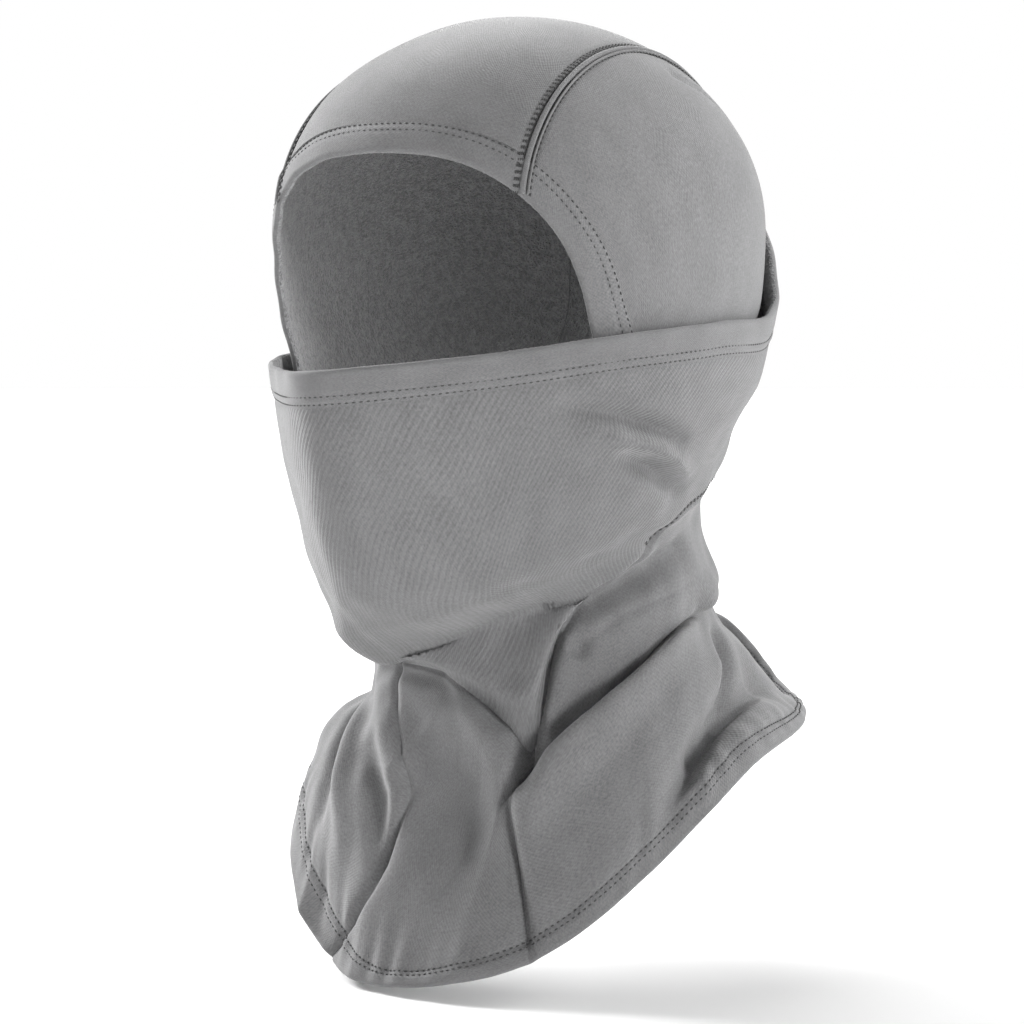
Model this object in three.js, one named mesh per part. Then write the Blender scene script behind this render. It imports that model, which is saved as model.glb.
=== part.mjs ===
// A knitted full-head balaclava with a pull-up mask, draped as it hangs on a head.
// Millimetres, +Z up, the face looks along -Y, the wearer's left is +X.
// The origin is the inside of the crown, where the top of the head bears.
import * as THREE from "three";

// ---- driving dimensions -------------------------------------------------------------
const FABRIC = 1.5;          // one ply of brushed knit
const HEM_THICK = 3.0;       // folded hem, two plies pressed flat
const HEM_LIFT = 0.8;        // how far a hem stands out from the panel beside it
const SEAM_GAP = 0.4;        // clear gap between two cut edges at a seam
const HOOD_HALF_WIDTH = 82;  // widest level of the hood, temple height
const HOOD_FRONT = 98;       // forehead reach forward of the ear line
const HOOD_BACK = 103;       // reach back from the ear line
const HOOD_RISE = 74;        // widest level up to the crown
const WIDE_Z = -72.5;        // height of the widest level
const HOOD_END_Z = -165;     // hood's lower edge, inside the outer tube
const CROWN_HALF = 50;       // half width of the crown panel at the brow
const CROWN_END_HALF = 34;   // half width of the crown panel at the nape
const EYE_Z = -113;          // widest level of the face opening
const EYE_HALF = 64;         // half width of the face opening
const EYE_RISE = 62;         // opening's widest level up to its top edge
const EYE_POWER = 2.6;       // squareness of the opening's arch
const FACE_HEM = [7, 10];    // face hem's width at the side and at the top
const MASK_HEM_S = 0.072;    // lower edge of the mask hem, as a share of the tube
const NOSE_SPREAD = 24;      // half spread of the nose bump, degrees
const PANEL_START = 1.04;    // hem width at which the panel beside it starts
const CROWN_TURN = 0.72;     // share of the crown panel that lies over the top
const THREAD = 0.5;          // height of a stitched thread run
const GAP_DEGREES = 0.3;     // seam gaps on the outer tube
const GAP_SHARE = 0.002;
const COLOURS = { fabric: 0x8f8f91, hem: 0x868688, thread: 0x5d5d60 };

// Hood rings below the widest level: height, centre y, half width, front, back.
const HOOD_RINGS = [
  [0, 2.5, 82, 98, 102], [-72.5, 0, 82, 98, 103], [-97, 0, 81, 96.5, 100],
  [-122, 0, 76, 92, 85], [-147, 2, 69, 84, 68], [-177, 5, 60, 70, 56],
];
// Outer tube, mask edge (0) to bib edge (1): share, centre y, half width, front, back,
// nose bump, sideways lean, then the height at 0, 30 ... 180 degrees from the front.
const TUBE_RINGS = [
  [0.00, 0, 83, 100, 116, 24, 4, -124, -121, -115.5, -111, -104.5, -67, -55],
  [0.12, 0, 81, 97, 106, 24, 4, -145, -142, -136.5, -132, -126.5, -103, -92],
  [0.28, 0, 74, 91, 88, 20, 4, -175, -173, -165.5, -157, -146.5, -137, -133],
  [0.40, 2, 67, 87, 73, 12, 6, -199, -196, -188, -178, -167, -159, -156],
  [0.48, 6, 62, 80, 62, 4, 12, -210, -207, -199, -190, -180, -173, -171],
  [0.55, 12, 59, 60, 58, 0, 17, -218, -216, -211, -205, -198, -194, -192],
  [0.65, 13, 61, 61, 63, 0, 12, -235, -233, -229, -223, -217, -213, -211],
  [0.80, 9, 74.5, 72, 82, 0, 6, -271, -267, -254, -239, -231, -229, -225],
  [0.92, 11, 85, 85, 105, 0, 3, -311, -303, -277, -252, -246, -247, -237],
  [1.00, 12, 89.5, 95, 119, 0, 2, -334, -326, -296, -264, -254, -244, -218],
];
// Soft folds: height in mm (minus is a valley), spread in mm, then a path of
// [degrees from the front, share down the tube].
const FOLDS = [
  [-3.0, 7, [[54, 0.15], [68, 0.17], [80, 0.22]]],
  [2.5, 7, [[58, 0.19], [72, 0.235], [88, 0.31]]],
  [-3.0, 7, [[66, 0.25], [76, 0.29], [86, 0.35]]],
  [-3.5, 7, [[48, 0.58], [62, 0.56], [80, 0.535]]],
  [3.5, 9, [[112, 0.58], [74, 0.59], [54, 0.61]]],
  [3.0, 8, [[106, 0.63], [75, 0.66], [54, 0.70]]],
  [-5.0, 7, [[118, 0.625], [101, 0.65], [75, 0.69], [52, 0.73], [31, 0.777]]],
  [4.0, 9, [[106, 0.69], [75, 0.73], [52, 0.775], [36, 0.80], [28, 0.83]]],
  [4.0, 8, [[36, 0.57], [26, 0.63], [24, 0.70]]],
  [-7.0, 8, [[33, 0.66], [30, 0.74], [24, 0.80]]],
  [-4.0, 9, [[-14, 0.66], [2, 0.73], [14, 0.79]]],
  [3.5, 7, [[2, 0.61], [14, 0.68], [24, 0.745]]],
  [4.0, 7, [[-38, 0.64], [-19, 0.73], [-9, 0.79], [2, 0.88]]],
  [-4.0, 7, [[-24, 0.75], [-17, 0.80], [-12, 0.86]]],
  [3.0, 7, [[-50, 0.70], [-38, 0.78], [-30, 0.86]]],
  [-3.0, 7, [[-66, 0.68], [-52, 0.78], [-44, 0.85]]],
  [-7.5, 16, [[-42, 0.99], [-14, 1.0]]],
  [2.5, 12, [[8, 0.99], [24, 1.0]]],
  [3.0, 8, [[-45, 0.50], [-20, 0.53]]],
];
const FOLD_FADE = 0.35;      // a fold's height at the ends of its path, as a share of its middle
const MM_PER_DEGREE = 1.25;  // scale of a fold's path round the tube and down it
const MM_PER_SHARE = 200;
// Seams on the tube: [share, degrees] for the two that run down the front.
const FRONT_SEAM_LEFT = [
  [0.5, 40], [0.58, 38], [0.64, 32], [0.76, 30], [0.82, 25], [0.9, 28], [1, 32],
];
const FRONT_SEAM_RIGHT = [
  [0.5, -34], [0.6, -28], [0.7, -20], [0.8, -9], [0.88, -11], [0.94, -19], [1, -29],
];

// ---- small maths --------------------------------------------------------------------
const DEG = Math.PI / 180;
const mix = (a, b, t) => a + (b - a) * t;
const clamp01 = (x) => Math.min(1, Math.max(0, x));
const smooth = (x) => { const t = clamp01(x); return t * t * (3 - 2 * t); };
const vec = (x, y, z) => new THREE.Vector3(x, y, z);
const wrapAngle = (a) => a - 2 * Math.PI * Math.round(a / (2 * Math.PI));

/** Monotone cubic through a table's rows: column `col` against column 0. */
function through(table, col) {
  const xs = table.map((r) => r[0]);
  const ys = table.map((r) => r[col]);
  const slopes = xs.slice(1).map((x, i) => (ys[i + 1] - ys[i]) / (x - xs[i]));
  const grads = xs.map((_, i) => {
    const [a, b] = [slopes[i - 1], slopes[i]];
    if (a === undefined) return b;
    if (b === undefined) return a;
    return a * b <= 0 ? 0 : (2 * a * b) / (a + b);
  });
  return (x) => {
    let i = 0;
    while (i < xs.length - 2 && x > xs[i + 1]) i++;
    const h = xs[i + 1] - xs[i];
    const t = clamp01((x - xs[i]) / h);
    const u = 1 - t;
    return ys[i] * (1 + 2 * t) * u * u + ys[i + 1] * (3 - 2 * t) * t * t
      + h * (grads[i] * t * u * u - grads[i + 1] * t * t * u);
  };
}

/** Height at an angle from seven values at 0, 30 ... 180 degrees, the same on both sides. */
function aroundRing(heights, theta) {
  const a = Math.abs(wrapAngle(theta)) / (30 * DEG);
  const at = (i) => heights[i < 0 ? -i : i > 6 ? 12 - i : i];
  const i = Math.min(5, Math.floor(a));
  const t = a - i;
  const [p, q, r, s] = [at(i - 1), at(i), at(i + 1), at(i + 2)];
  return q + 0.5 * t * (r - p + t * (2 * p - 5 * q + 4 * r - s + t * (3 * (q - r) + s - p)));
}

/** How close a point is to a fold's path, in mm, and how far along the path that is. */
function nearPath(degrees, share, path) {
  let best = { gap: Infinity, along: 0 };
  const here = path[0][0] + wrapAngle((degrees - path[0][0]) * DEG) / DEG;
  for (let i = 0; i + 1 < path.length; i++) {
    const flat = (p) => [(p[0] - here) * MM_PER_DEGREE, (p[1] - share) * MM_PER_SHARE];
    const [ax, ay] = flat(path[i]);
    const [bx, by] = flat(path[i + 1]);
    const [dx, dy] = [bx - ax, by - ay];
    const t = clamp01(-(ax * dx + ay * dy) / (dx * dx + dy * dy));
    const gap = Math.hypot(ax + dx * t, ay + dy * t);
    if (gap < best.gap) best = { gap, along: (i + t) / (path.length - 1) };
  }
  return best;
}

function foldHeight(theta, share) {
  let sum = 0;
  for (const [height, spread, path] of FOLDS) {
    const { gap, along } = nearPath(theta / DEG, share, path);
    const fade = FOLD_FADE + (1 - FOLD_FADE) * Math.sin(Math.PI * along);
    sum += height * fade * Math.exp(-((gap / spread) ** 2));
  }
  return sum;
}

// ---- the two base surfaces ----------------------------------------------------------
const tubeColumns = TUBE_RINGS[0].slice(1).map((_, i) => through(TUBE_RINGS, i + 1));

function tubeBase(theta, share) {
  const [yc, half, front, back, nose, lean, ...heights] = tubeColumns.map((f) => f(share));
  const a = wrapAngle(theta);
  const c = Math.cos(a);
  const bump = nose * Math.exp(-((a / (NOSE_SPREAD * DEG)) ** 2));
  return vec(half * Math.sin(a), yc - (c > 0 ? front : back) * c - bump,
    aroundRing(heights, a) + lean * Math.sin(a));
}

function tubeNormal(theta, share) {
  const d = 0.004;
  const across = tubeBase(theta + d, share).sub(tubeBase(theta - d, share));
  const down = tubeBase(theta, Math.min(1, share + d)).sub(tubeBase(theta, Math.max(0, share - d)));
  return down.cross(across).normalize();
}

/** Point on the outer tube, `lift` mm outside its draped surface. */
function tube(theta, share, lift = 0) {
  const out = foldHeight(theta, share) + lift;
  return tubeBase(theta, share).addScaledVector(tubeNormal(theta, share), out);
}

const [hoodCentre, hoodHalf, hoodFront, hoodBack] = [1, 2, 3, 4].map((c) =>
  through(HOOD_RINGS.slice().reverse(), c));

/** Point on the hood at an angle from the front and a height below the crown. */
function hood(theta, z) {
  const up = Math.max(0, (z - WIDE_Z) / HOOD_RISE);
  const q = Math.sqrt(Math.max(0, 1 - up * up));
  const c = Math.cos(theta);
  const reach = (c > 0 ? hoodFront : hoodBack)(z);
  return vec(hoodHalf(z) * Math.sin(theta) * q, hoodCentre(z) - reach * c * q, z);
}

/** Point on the hood's dome at a sideways distance and an angle over the top from the front. */
function dome(x, beta) {
  const cosA = Math.sqrt(1 - (x / HOOD_HALF_WIDTH) ** 2);
  const z = WIDE_Z + HOOD_RISE * cosA * Math.sin(beta);
  const c = Math.cos(beta);
  return vec(x, hoodCentre(z) - (c > 0 ? HOOD_FRONT : HOOD_BACK) * cosA * c, z);
}

function hoodNormal(p) {
  const b = p.y < hoodCentre(p.z) ? hoodFront(p.z) : hoodBack(p.z);
  const up = Math.max(0, p.z - WIDE_Z) / HOOD_RISE ** 2;
  return vec(p.x / hoodHalf(p.z) ** 2, (p.y - hoodCentre(p.z)) / b ** 2, up).normalize();
}

/** Moves a point near the hood onto it. */
function ontoHood(p) {
  const yc = hoodCentre(p.z);
  const b = p.y < yc ? hoodFront(p.z) : hoodBack(p.z);
  const dx = p.x / hoodHalf(p.z);
  const dy = (p.y - yc) / b;
  if (p.z <= WIDE_Z) return hood(Math.atan2(dx, -dy), p.z);
  const dz = (p.z - WIDE_Z) / HOOD_RISE;
  const e = Math.hypot(dx, dy, dz);
  return vec(p.x / e, yc + (p.y - yc) / e, WIDE_Z + (p.z - WIDE_Z) / e);
}

// ---- face opening -------------------------------------------------------------------
const archPower = 2 / EYE_POWER;

/** Point on the face hem: phi 0 is its top, 90 degrees its widest level; w 0 inner, 1 outer. */
function faceEdge(phi, w) {
  const a = EYE_HALF + FACE_HEM[0] * w;
  const c = EYE_RISE + FACE_HEM[1] * w;
  const x = a * Math.sin(Math.abs(phi)) ** archPower * Math.sign(phi);
  const z = EYE_Z + c * Math.cos(phi) ** archPower;
  const q = z > WIDE_Z ? Math.sqrt(1 - ((z - WIDE_Z) / HOOD_RISE) ** 2) : 1;
  const s = Math.min(1, Math.abs(x) / (hoodHalf(z) * q));
  return hood(Math.asin(s) * Math.sign(phi || 1), z);
}

/** Below its widest level the hem runs straight down to the hood's lower edge. */
function faceSide(z, w, side) {
  const sin = (EYE_HALF + FACE_HEM[0] * w) / hoodHalf(EYE_Z);
  return hood(Math.asin(sin) * side, z);
}

/** phi where the crown seam crosses the hem. */
function seamPhi(x, w) {
  return Math.asin((x / (EYE_HALF + FACE_HEM[0] * w)) ** (1 / archPower));
}

// ---- closed shells ------------------------------------------------------------------
/**
 * A closed sheet: `at(u, v)` gives the outer point and its outward normal.
 * `ring` joins u = 1 to u = 0.
 */
function shell(name, at, nu, nv, thick, kind, ring = false) {
  const cols = ring ? nu : nu + 1;
  const positions = [];
  for (const depth of [0, thick]) {
    for (let j = 0; j <= nv; j++) {
      for (let i = 0; i < cols; i++) {
        const { point, normal } = at(i / nu, j / nv);
        positions.push(...point.clone().addScaledVector(normal, -depth).toArray());
      }
    }
  }
  const inner = cols * (nv + 1);
  const id = (i, j) => (i % cols) + cols * j;
  const faces = [];
  const quad = (a, b, c, d) => faces.push(a, b, c, a, c, d);
  for (let j = 0; j < nv; j++) {
    for (let i = 0; i < nu; i++) {
      const [a, b, c, d] = [id(i, j), id(i + 1, j), id(i + 1, j + 1), id(i, j + 1)];
      quad(a, b, c, d);
      quad(a + inner, d + inner, c + inner, b + inner);
    }
    if (!ring) {
      quad(id(0, j), id(0, j + 1), id(0, j + 1) + inner, id(0, j) + inner);
      quad(id(nu, j), id(nu, j) + inner, id(nu, j + 1) + inner, id(nu, j + 1));
    }
  }
  for (let i = 0; i < nu; i++) {
    quad(id(i, 0), id(i, 0) + inner, id(i + 1, 0) + inner, id(i + 1, 0));
    quad(id(i, nv), id(i + 1, nv), id(i + 1, nv) + inner, id(i, nv) + inner);
  }
  if (signedVolume(positions, faces) < 0) faces.reverse();
  return named(name, positions, faces, kind);
}

function signedVolume(positions, faces) {
  const at = (i) => vec(...positions.slice(3 * i, 3 * i + 3));
  let sum = 0;
  for (let i = 0; i < faces.length; i += 3) {
    sum += at(faces[i]).dot(at(faces[i + 1]).cross(at(faces[i + 2])));
  }
  return sum;
}

function named(name, positions, faces, kind) {
  const geometry = new THREE.BufferGeometry();
  geometry.setAttribute("position", new THREE.Float32BufferAttribute(positions, 3));
  geometry.setIndex(faces);
  geometry.computeVertexNormals();
  const material = new THREE.MeshStandardMaterial({ color: COLOURS[kind], roughness: 0.9, metalness: 0 });
  const mesh = new THREE.Mesh(geometry, material);
  mesh.name = name;
  return mesh;
}

// ---- hood pieces --------------------------------------------------------------------
const hoodShell = (name, at, nu, nv, kind, lift = 0, thick = FABRIC) => shell(name, (u, v) => {
  const p = at(u, v);
  const normal = hoodNormal(p);
  return { point: p.addScaledVector(normal, lift), normal };
}, nu, nv, thick, kind);

/** The crown seam's line: t 0 at the face hem, 1 at the nape; x is its distance from the middle. */
function crownLine(x, t) {
  const narrow = x * mix(1, CROWN_END_HALF / CROWN_HALF, smooth(t));
  if (t > CROWN_TURN) {
    const z = mix(WIDE_Z, HOOD_END_Z, (t - CROWN_TURN) / (1 - CROWN_TURN));
    return hood(Math.PI - Math.asin(narrow / hoodHalf(z)), z);
  }
  const edge = faceEdge(Math.sign(x) * seamPhi(Math.abs(x), PANEL_START), PANEL_START);
  const cosA = Math.sqrt(1 - (x / HOOD_HALF_WIDTH) ** 2);
  const start = Math.asin((edge.z - WIDE_Z) / (HOOD_RISE * cosA));
  return dome(narrow, mix(start, Math.PI, t / CROWN_TURN));
}

function crownPanel() {
  const half = CROWN_HALF - SEAM_GAP / 2;
  return hoodShell("crown_panel", (u, v) => crownLine(mix(-half, half, u) || 1e-6, v), 12, 50, "fabric");
}

/** Side panel of the hood, filled in from its four edges. */
function sidePanel(name, side) {
  const x = (CROWN_HALF + SEAM_GAP / 2) * side;
  const phi0 = seamPhi(Math.abs(x), PANEL_START);
  const bend = 0.5;
  const front = (v) => {
    if (v < bend) return faceEdge(side * mix(phi0, Math.PI / 2, v / bend), PANEL_START);
    return faceSide(mix(EYE_Z, HOOD_END_Z, (v - bend) / (1 - bend)), PANEL_START, side);
  };
  const top = (u) => crownLine(x, u * CROWN_TURN);
  const back = (v) => crownLine(x, mix(CROWN_TURN, 1, v));
  const low = front(1);
  const angle = (p) => Math.atan2(p.x / hoodHalf(p.z), -(p.y - hoodCentre(p.z)) / hoodBack(p.z));
  const lowAngle = Math.asin(low.x / hoodHalf(HOOD_END_Z));
  const bottom = (u) => hood(mix(lowAngle, angle(back(1)), u), HOOD_END_Z);
  const at = (u, v) => {
    const edges = front(v).multiplyScalar(1 - u).addScaledVector(back(v), u)
      .addScaledVector(top(u), 1 - v).addScaledVector(bottom(u), v);
    const corners = front(0).multiplyScalar((1 - u) * (1 - v)).addScaledVector(top(1), u * (1 - v))
      .addScaledVector(low, (1 - u) * v).addScaledVector(bottom(1), u * v);
    return ontoHood(edges.sub(corners));
  };
  return hoodShell(name, at, 36, 14, "fabric");
}

function faceHems() {
  const top = (u, v) => {
    const phi = seamPhi(CROWN_HALF - SEAM_GAP / 2, v);
    return faceEdge(mix(-phi, phi, u) || 1e-6, v);
  };
  const bend = 0.55;
  const sideHem = (side) => (u, v) => {
    if (u > bend) return faceSide(mix(EYE_Z, HOOD_END_Z, (u - bend) / (1 - bend)), v, side);
    return faceEdge(side * mix(seamPhi(CROWN_HALF + SEAM_GAP / 2, v), Math.PI / 2, u / bend), v);
  };
  const hem = (name, at, n) => hoodShell(name, at, n, 2, "hem", HEM_LIFT, HEM_THICK);
  return [
    hem("face_hem_top", top, 16),
    hem("face_hem_left", sideHem(1), 18),
    hem("face_hem_right", sideHem(-1), 18),
  ];
}

// ---- outer tube pieces --------------------------------------------------------------
const frontSeamLeft = through(FRONT_SEAM_LEFT, 1);
const frontSeamRight = through(FRONT_SEAM_RIGHT, 1);

/** Share at which the neck seam runs: low under the chin, high across the nape. */
function neckSeam(theta) {
  const a = Math.abs(wrapAngle(theta)) / DEG;
  return 0.405 + 0.145 * smooth((95 - a) / 32);
}

/** Share at which the bib's hem starts. */
const bibHemLine = (theta) => 0.98 - 0.03 * Math.sin(theta) ** 2;

/** A piece of the tube between two angle lines and two share lines. */
function tubePiece(name, piece) {
  const { from, to, top, bottom, nu, nv, kind, lift = 0, thick = FABRIC, ring = false } = piece;
  return shell(name, (u, v) => {
    let share = 0.5;
    let theta = 0;
    for (let i = 0; i < 4; i++) {
      theta = mix(from(share), to(share), u) * DEG;
      share = mix(top(theta), bottom(theta), v);
    }
    return { point: tube(theta, share, lift), normal: tubeNormal(theta, share) };
  }, nu, nv, thick, kind, ring);
}

function tubePieces() {
  const folded = { kind: "hem", lift: HEM_LIFT, thick: HEM_THICK };
  const round = { from: () => -180, to: () => 180, ring: true, nu: 60 };
  const maskHem = { ...round, ...folded, top: () => 0, bottom: () => MASK_HEM_S, nv: 1 };
  const maskTop = () => MASK_HEM_S + 2 * GAP_SHARE;
  const mask = { ...round, top: maskTop, bottom: (t) => neckSeam(t) - GAP_SHARE, nv: 10, kind: "fabric" };
  const panel = { top: (t) => neckSeam(t) + GAP_SHARE, bottom: (t) => bibHemLine(t) - GAP_SHARE };
  const cloth = { ...panel, kind: "fabric", nv: 13 };
  const hem = { ...folded, top: (t) => bibHemLine(t) + GAP_SHARE, bottom: () => 1, nv: 2 };
  const frontFrom = (s) => frontSeamRight(s) + GAP_DEGREES;
  const front = { from: frontFrom, to: (s) => frontSeamLeft(s) - GAP_DEGREES, nu: 9 };
  const left = { from: (s) => frontSeamLeft(s) + GAP_DEGREES, to: () => 180 - GAP_DEGREES };
  const right = { from: () => -180 + GAP_DEGREES, to: (s) => frontSeamRight(s) - GAP_DEGREES };
  return [
    tubePiece("mask_hem", maskHem),
    tubePiece("mask_panel", mask),
    tubePiece("bib_front_panel", { ...cloth, ...front }),
    tubePiece("bib_left_panel", { ...cloth, ...left, nu: 26 }),
    tubePiece("bib_right_panel", { ...cloth, ...right, nu: 26 }),
    tubePiece("bib_hem_front", { ...hem, ...front }),
    tubePiece("bib_hem_left", { ...hem, ...left, nu: 40 }),
    tubePiece("bib_hem_right", { ...hem, ...right, nu: 40 }),
  ];
}

// ---- thread runs --------------------------------------------------------------------
const CLEAR = 0.3;           // air between a thread run and the cloth under it
const HEM_CLEAR = HEM_LIFT + THREAD + CLEAR;
const CROWN_CLEAR = THREAD + CLEAR + 0.15;
const NECK_CLEAR = THREAD + CLEAR + 0.6;
const FACE_ROW = 0.72;       // share of the face hem's width where its stitches run
const MASK_ROW = 0.06;       // share down the tube of the mask hem's stitches
const BIB_ROW = 0.012;       // share below the bib hem's top edge

/** A flat run of thread, `wide` across, centred on `line(t)` which gives a point and a normal. */
function threadRun(name, line, n, wide, ring = false) {
  const at = (u, v) => {
    const { point, normal } = line(u);
    const d = 0.002;
    const ahead = line(ring ? u + d : Math.min(1, u + d)).point;
    const along = ahead.sub(line(ring ? u - d : Math.max(0, u - d)).point);
    const across = along.cross(normal).normalize();
    return { point: point.clone().addScaledVector(across, (v - 0.5) * wide), normal };
  };
  return shell(name, at, n, 1, THREAD, "thread", ring);
}

function threadRuns() {
  const onTube = (share, lift, from = -180, to = 180) => (t) => {
    const theta = mix(from, to, t) * DEG;
    return { point: tube(theta, share(theta), lift), normal: tubeNormal(theta, share(theta)) };
  };
  const onHood = (at, lift) => (t) => {
    const point = at(t);
    const normal = hoodNormal(point);
    return { point: point.addScaledVector(normal, lift), normal };
  };
  const crown = (side) => onHood((t) => crownLine(side * CROWN_HALF, mix(0.01, 0.99, t)), CROWN_CLEAR);
  const straight = 0.3;
  const foot = HOOD_END_Z + 1;
  const face = (t) => {
    if (t < straight) return faceSide(mix(foot, EYE_Z, t / straight), FACE_ROW, -1);
    if (t > 1 - straight) return faceSide(mix(EYE_Z, foot, (t - 1 + straight) / straight), FACE_ROW, 1);
    const phi = mix(-Math.PI / 2, Math.PI / 2, (t - straight) / (1 - 2 * straight));
    return faceEdge(phi || 1e-6, FACE_ROW);
  };
  const bibRow = (t) => bibHemLine(t) + BIB_ROW;
  return [
    threadRun("crown_seam_thread_left", crown(1), 40, 3.2),
    threadRun("crown_seam_thread_right", crown(-1), 40, 3.2),
    threadRun("face_hem_thread", onHood(face, HEM_CLEAR), 64, 2.2),
    threadRun("mask_hem_thread", onTube(() => MASK_ROW, HEM_CLEAR), 60, 2.4, true),
    threadRun("neck_seam_thread", onTube(neckSeam, NECK_CLEAR, 72, 288), 54, 2.2),
    threadRun("bib_hem_thread", onTube(bibRow, HEM_CLEAR + 0.5), 90, 1.8, true),
  ];
}

const balaclava = new THREE.Group();
balaclava.name = "balaclava";
balaclava.add(crownPanel(), sidePanel("side_panel_left", 1), sidePanel("side_panel_right", -1));
balaclava.add(...faceHems(), ...tubePieces(), ...threadRuns());
export default balaclava;
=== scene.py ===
"""A grey knitted balaclava with a pull-up mask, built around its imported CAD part."""

import math

import bpy
import numpy as np
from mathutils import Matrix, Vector


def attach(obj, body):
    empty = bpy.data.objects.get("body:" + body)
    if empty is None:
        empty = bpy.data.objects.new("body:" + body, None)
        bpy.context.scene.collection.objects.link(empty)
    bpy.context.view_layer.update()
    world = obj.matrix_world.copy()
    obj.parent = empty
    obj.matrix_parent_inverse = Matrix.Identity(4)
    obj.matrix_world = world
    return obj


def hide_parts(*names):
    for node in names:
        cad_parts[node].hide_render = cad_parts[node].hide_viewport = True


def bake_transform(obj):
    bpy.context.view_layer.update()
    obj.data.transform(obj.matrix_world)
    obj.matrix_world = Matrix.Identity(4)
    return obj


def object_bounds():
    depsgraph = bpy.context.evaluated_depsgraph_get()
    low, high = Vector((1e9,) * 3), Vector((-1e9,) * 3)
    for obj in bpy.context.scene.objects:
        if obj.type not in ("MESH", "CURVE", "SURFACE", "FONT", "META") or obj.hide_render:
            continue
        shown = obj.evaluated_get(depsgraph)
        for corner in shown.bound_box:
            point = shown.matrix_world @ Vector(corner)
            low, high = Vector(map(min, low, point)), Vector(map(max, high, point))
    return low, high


bl_info = {
    "name": "Knitted balaclava",
    "version": (1, 0, 0),
    "blender": (4, 5, 0),
    "location": "3D View > Sidebar > Balaclava",
    "description": "Makes the panels, hems, seams and stitches of a knitted balaclava",
    "category": "Object",
}

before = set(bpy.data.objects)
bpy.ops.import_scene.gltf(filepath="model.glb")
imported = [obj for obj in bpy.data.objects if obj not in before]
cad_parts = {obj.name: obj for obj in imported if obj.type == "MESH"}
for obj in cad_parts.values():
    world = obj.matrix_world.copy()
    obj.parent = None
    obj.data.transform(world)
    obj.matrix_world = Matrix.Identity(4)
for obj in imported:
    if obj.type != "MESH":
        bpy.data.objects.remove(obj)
CAD_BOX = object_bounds()
MM = 0.001
DEG = math.pi / 180

# ---- the garment's shape, in millimetres, as the CAD part has it ---------------------
FABRIC = 1.5          # one ply of brushed knit
HEM_THICK = 3.0       # folded hem, two plies pressed flat
HEM_LIFT = 0.8        # how far a hem stands out from the panel beside it
SEAM_GAP = 0.4        # clear gap between two cut edges
HOOD_HALF_WIDTH = 82
HOOD_FRONT = 98
HOOD_BACK = 103
HOOD_RISE = 74
WIDE_Z = -72.5        # the hood's widest level
HOOD_END_Z = -165
CROWN_HALF = 50       # half width of the crown panel at the brow
CROWN_END_HALF = 34
CROWN_TURN = 0.72     # share of the crown panel that lies over the top
EYE_Z = -113
EYE_HALF = 64
EYE_RISE = 62
EYE_POWER = 2.6
FACE_HEM = (7, 10)    # face hem's width at the side and at the top
MASK_HEM_S = 0.072
NOSE_SPREAD = 24
PANEL_START = 1.04    # hem width at which the panel beside it starts
TUCK = 0.012          # share of the bib that lies under the mask at the neck seam
TUCK_DEEP = 1.9
HEM_TUCK = 0.004      # share of a panel that lies under the hem beside it
HEM_TUCK_DEEP = 0.35
FLUSH_WIDTH = 3.0     # a hem comes down level with its panel over this width
SEAM_WIDTH = 2.0
SEAM_DIP = 1.3
FOLD_RADIUS = 1.7
HEM_ROW_DIP = 0.35    # twin-needle rows pull the hem in
HEM_ROW_WIDE = 0.10
FACE_ROWS = (0.72, 0.95)
MASK_ROWS = (0.70, 0.91)
MASK_ROW_WIDE = 0.06
BIB_ROWS = (0.06, 0.30)
PUCKER_REACH = 9
PUCKER_COUNT = 44
PUCKER_HEIGHT = 0.35
PLEAT = ((58, 10, -20), (58, 35, -27), (61, 49, -38))
PLEAT_DEEP = 1.6
PLEAT_WIDE = 2.6
MM_PER_DEGREE = 1.25  # round the tube
MM_PER_SHARE = 200    # down the tube
LAP_STEP = 1.0        # half width of the drop at a lap's edge
DEEPEST = 17.0        # no fold goes deeper or stands higher than this
ROLL_STEP = 2.6       # the same at a roll's rounder edge
LAP_REACH = 0.3       # how far a lap hangs over, against its height
LIP_FADE = 0.22       # share of a lap's path over which each end dies away
FOLD_END = 0.35       # a soft or sharp fold's height at its ends, against its middle
CREASE_ROUND = 0.3    # rounds the bottom of a sharp crease, square mm
TUCK_WIDTH = 1.2
SEAM_THINNING = 0.35  # share of the ply that a seam presses away
EDGE_LEFT = 0.06      # half thickness left at a folded edge
SHARP_ANGLE = 70      # faces meeting at more degrees than this are shaded apart
BIB_HEM_SHARE = 0.98  # where the bib's hem starts at the front and back
BIB_HEM_RISE = 0.03   # and how much higher it starts at the sides
FAR_HEM_EXTRA = 0.035
FACE_HEM_RIPPLE = 0.25
MASK_HEM_RUFFLE = 0.55
FACE_HEM_BUNCH = 1.35  # gathers a hem's rows of points toward its fold
TUBE_HEM_BUNCH = 1.3
NUDGE = 1e-6          # keeps a point off the exact centre line
# Cells across and down each sheet's mesh.
CROWN_CELLS = (56, 170)
SIDE_CELLS = (110, 90)
BROW_HEM_CELLS = (110, 16)
SIDE_HEM_CELLS = (130, 16)
MASK_HEM_CELLS = (360, 20)
MASK_CELLS = (360, 74)
BIB_COLUMNS = (72, 250, 220)
BIB_CELL_ROWS = 128
BIB_HEM_CELL_ROWS = 16
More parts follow.
